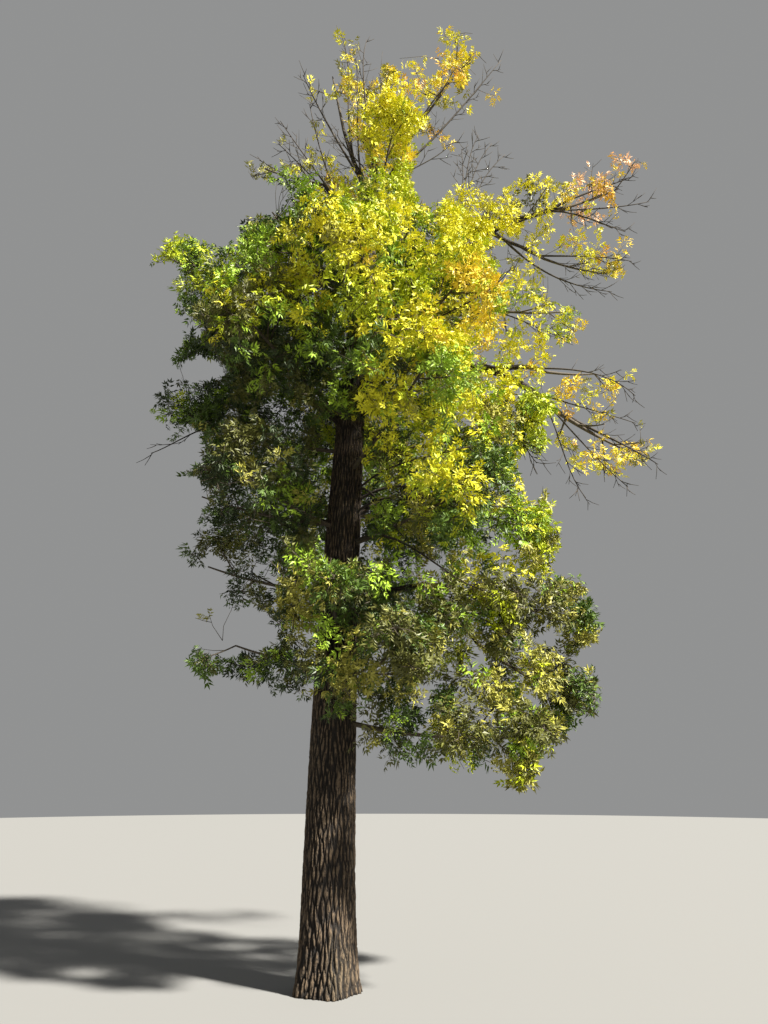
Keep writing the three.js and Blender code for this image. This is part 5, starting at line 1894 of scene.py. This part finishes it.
for number, (name, tint) in enumerate(TINTS.items()):
    chosen = np.flatnonzero(kept & (shoot_tint[shoot] == number))
    finish = Finish("leaf_" + name, roughness=LEAF_ROUGHNESS)
    finish.shader.inputs["Base Color"].default_value = linear(tint["code"])
    finish.shader.inputs["Specular IOR Level"].default_value = LEAF_SHINE
    lots = int(np.ceil(len(chosen) / PIECE_LEAVES))
    for lot_number, lot in enumerate(np.array_split(chosen, lots), start=1):
        points, triangles = leaf_mesh(lot)
        piece = new_piece(f"leaves_{name}_{lot_number}", points, triangles, smooth=False)
        masses_here = np.unique(shoot_mass[shoot[lot]])
        dress(piece, finish.material, [stems[mass].name for mass in masses_here])
        leaf_counts[piece.name] = len(lot)
print("leaves in all:", sum(leaf_counts.values()), "in", len(leaf_counts), "pieces")

# %% [markdown]
# Young wood is a speckled grey-brown, dead wood has weathered darker, and the broken end shows red-brown
# fibres. All three are too thin or too small for relief, so a fine noise between two colours is enough.
# It is noise in space and not a picture, so that no seam can show.

# %% Finish of the young, dead and broken wood
PALE_FROM = 0.7
DARK_TO = 0.3


def wood_finish(name, roughness, speckle, dark, pale):
    """A material whose colour runs from dark to pale with a fine noise."""
    finish = Finish(name, roughness=roughness)
    colour = finish.ramp(finish.noise(speckle, detail=3), [(DARK_TO, dark), (PALE_FROM, pale)])
    finish.feed(finish.shader.inputs["Base Color"], colour)
    return finish.material


young_bark = wood_finish("bark_young", roughness=0.8, speckle=0.01, dark="352d22", pale="5a5040")
dead_bark = wood_finish("bark_dead", roughness=0.85, speckle=0.02, dark="1c1611", pale="3f362c")
broken_wood = wood_finish("wood_broken", roughness=0.8, speckle=0.006, dark="4a2c17", pale="9a6b3e")
all_foliage = [stem.name for stem in stems]
for piece in (stem_wood, twig_wood, shoot_wood):
    dress(piece, young_bark, all_foliage)
limbs_with_bare = sorted({row["on"] for row in BARE_LIMBS if row["on"] in bough_pieces})
for piece in (bare_wood, dead_wood):
    dress(piece, dead_bark, limbs_with_bare)
dress(broken_end, broken_wood, ["bough_broken"])

# %% [markdown]
# ## Floor and light
#
# The tree stands on a plain pale floor. A broad sun from the right and a little in front gives the light
# and shade that show its form, and a pale sky fills the shadows. A lamp near the tree would be brightest
# on the nearest leaves, while a sun is equally bright on all that it reaches.

# %% Floor and light
FLOOR_RADIUS = 40
FLOOR_SIDES = 96
FLOOR_ROUGHNESS = 0.9
FLOOR_COLOUR = (0.17, 0.17, 0.165, 1)
SUN_STRENGTH = 16.0
SUN_WIDTH = 4
SUN_COLOUR = (1.0, 0.96, 0.88)
SUN_FROM_ABOVE = 46
SUN_TURN = 58
SKY_COLOUR = (0.95, 0.96, 0.96, 1)
SKY_STRENGTH = 0.3

around = np.linspace(0, 2 * np.pi, FLOOR_SIDES, endpoint=False)
rim = FLOOR_RADIUS * np.stack([np.cos(around), np.sin(around), 0 * around], axis=-1)
floor = new_piece("floor", rim, [np.arange(FLOOR_SIDES)[None]], smooth=False)
floor_finish = Finish("floor_pale", roughness=FLOOR_ROUGHNESS)
floor_finish.shader.inputs["Base Color"].default_value = FLOOR_COLOUR
floor.data.materials.append(floor_finish.material)

sun_data = bpy.data.lights.new("sun", "SUN")
sun_data.energy = SUN_STRENGTH
sun_data.angle = np.radians(SUN_WIDTH)
sun_data.color = SUN_COLOUR
sun = bpy.data.objects.new("sun", sun_data)
sun.rotation_euler = (np.radians(SUN_FROM_ABOVE), 0, np.radians(SUN_TURN))
bpy.context.scene.collection.objects.link(sun)

world = bpy.data.worlds.new("pale_sky")
world.use_nodes = True
sky = world.node_tree.nodes["Background"]
sky.inputs["Color"].default_value = SKY_COLOUR
sky.inputs["Strength"].default_value = SKY_STRENGTH
bpy.context.scene.world = world
bpy.context.scene.view_settings.view_transform = "Standard"
print("floor, sun and sky in place")
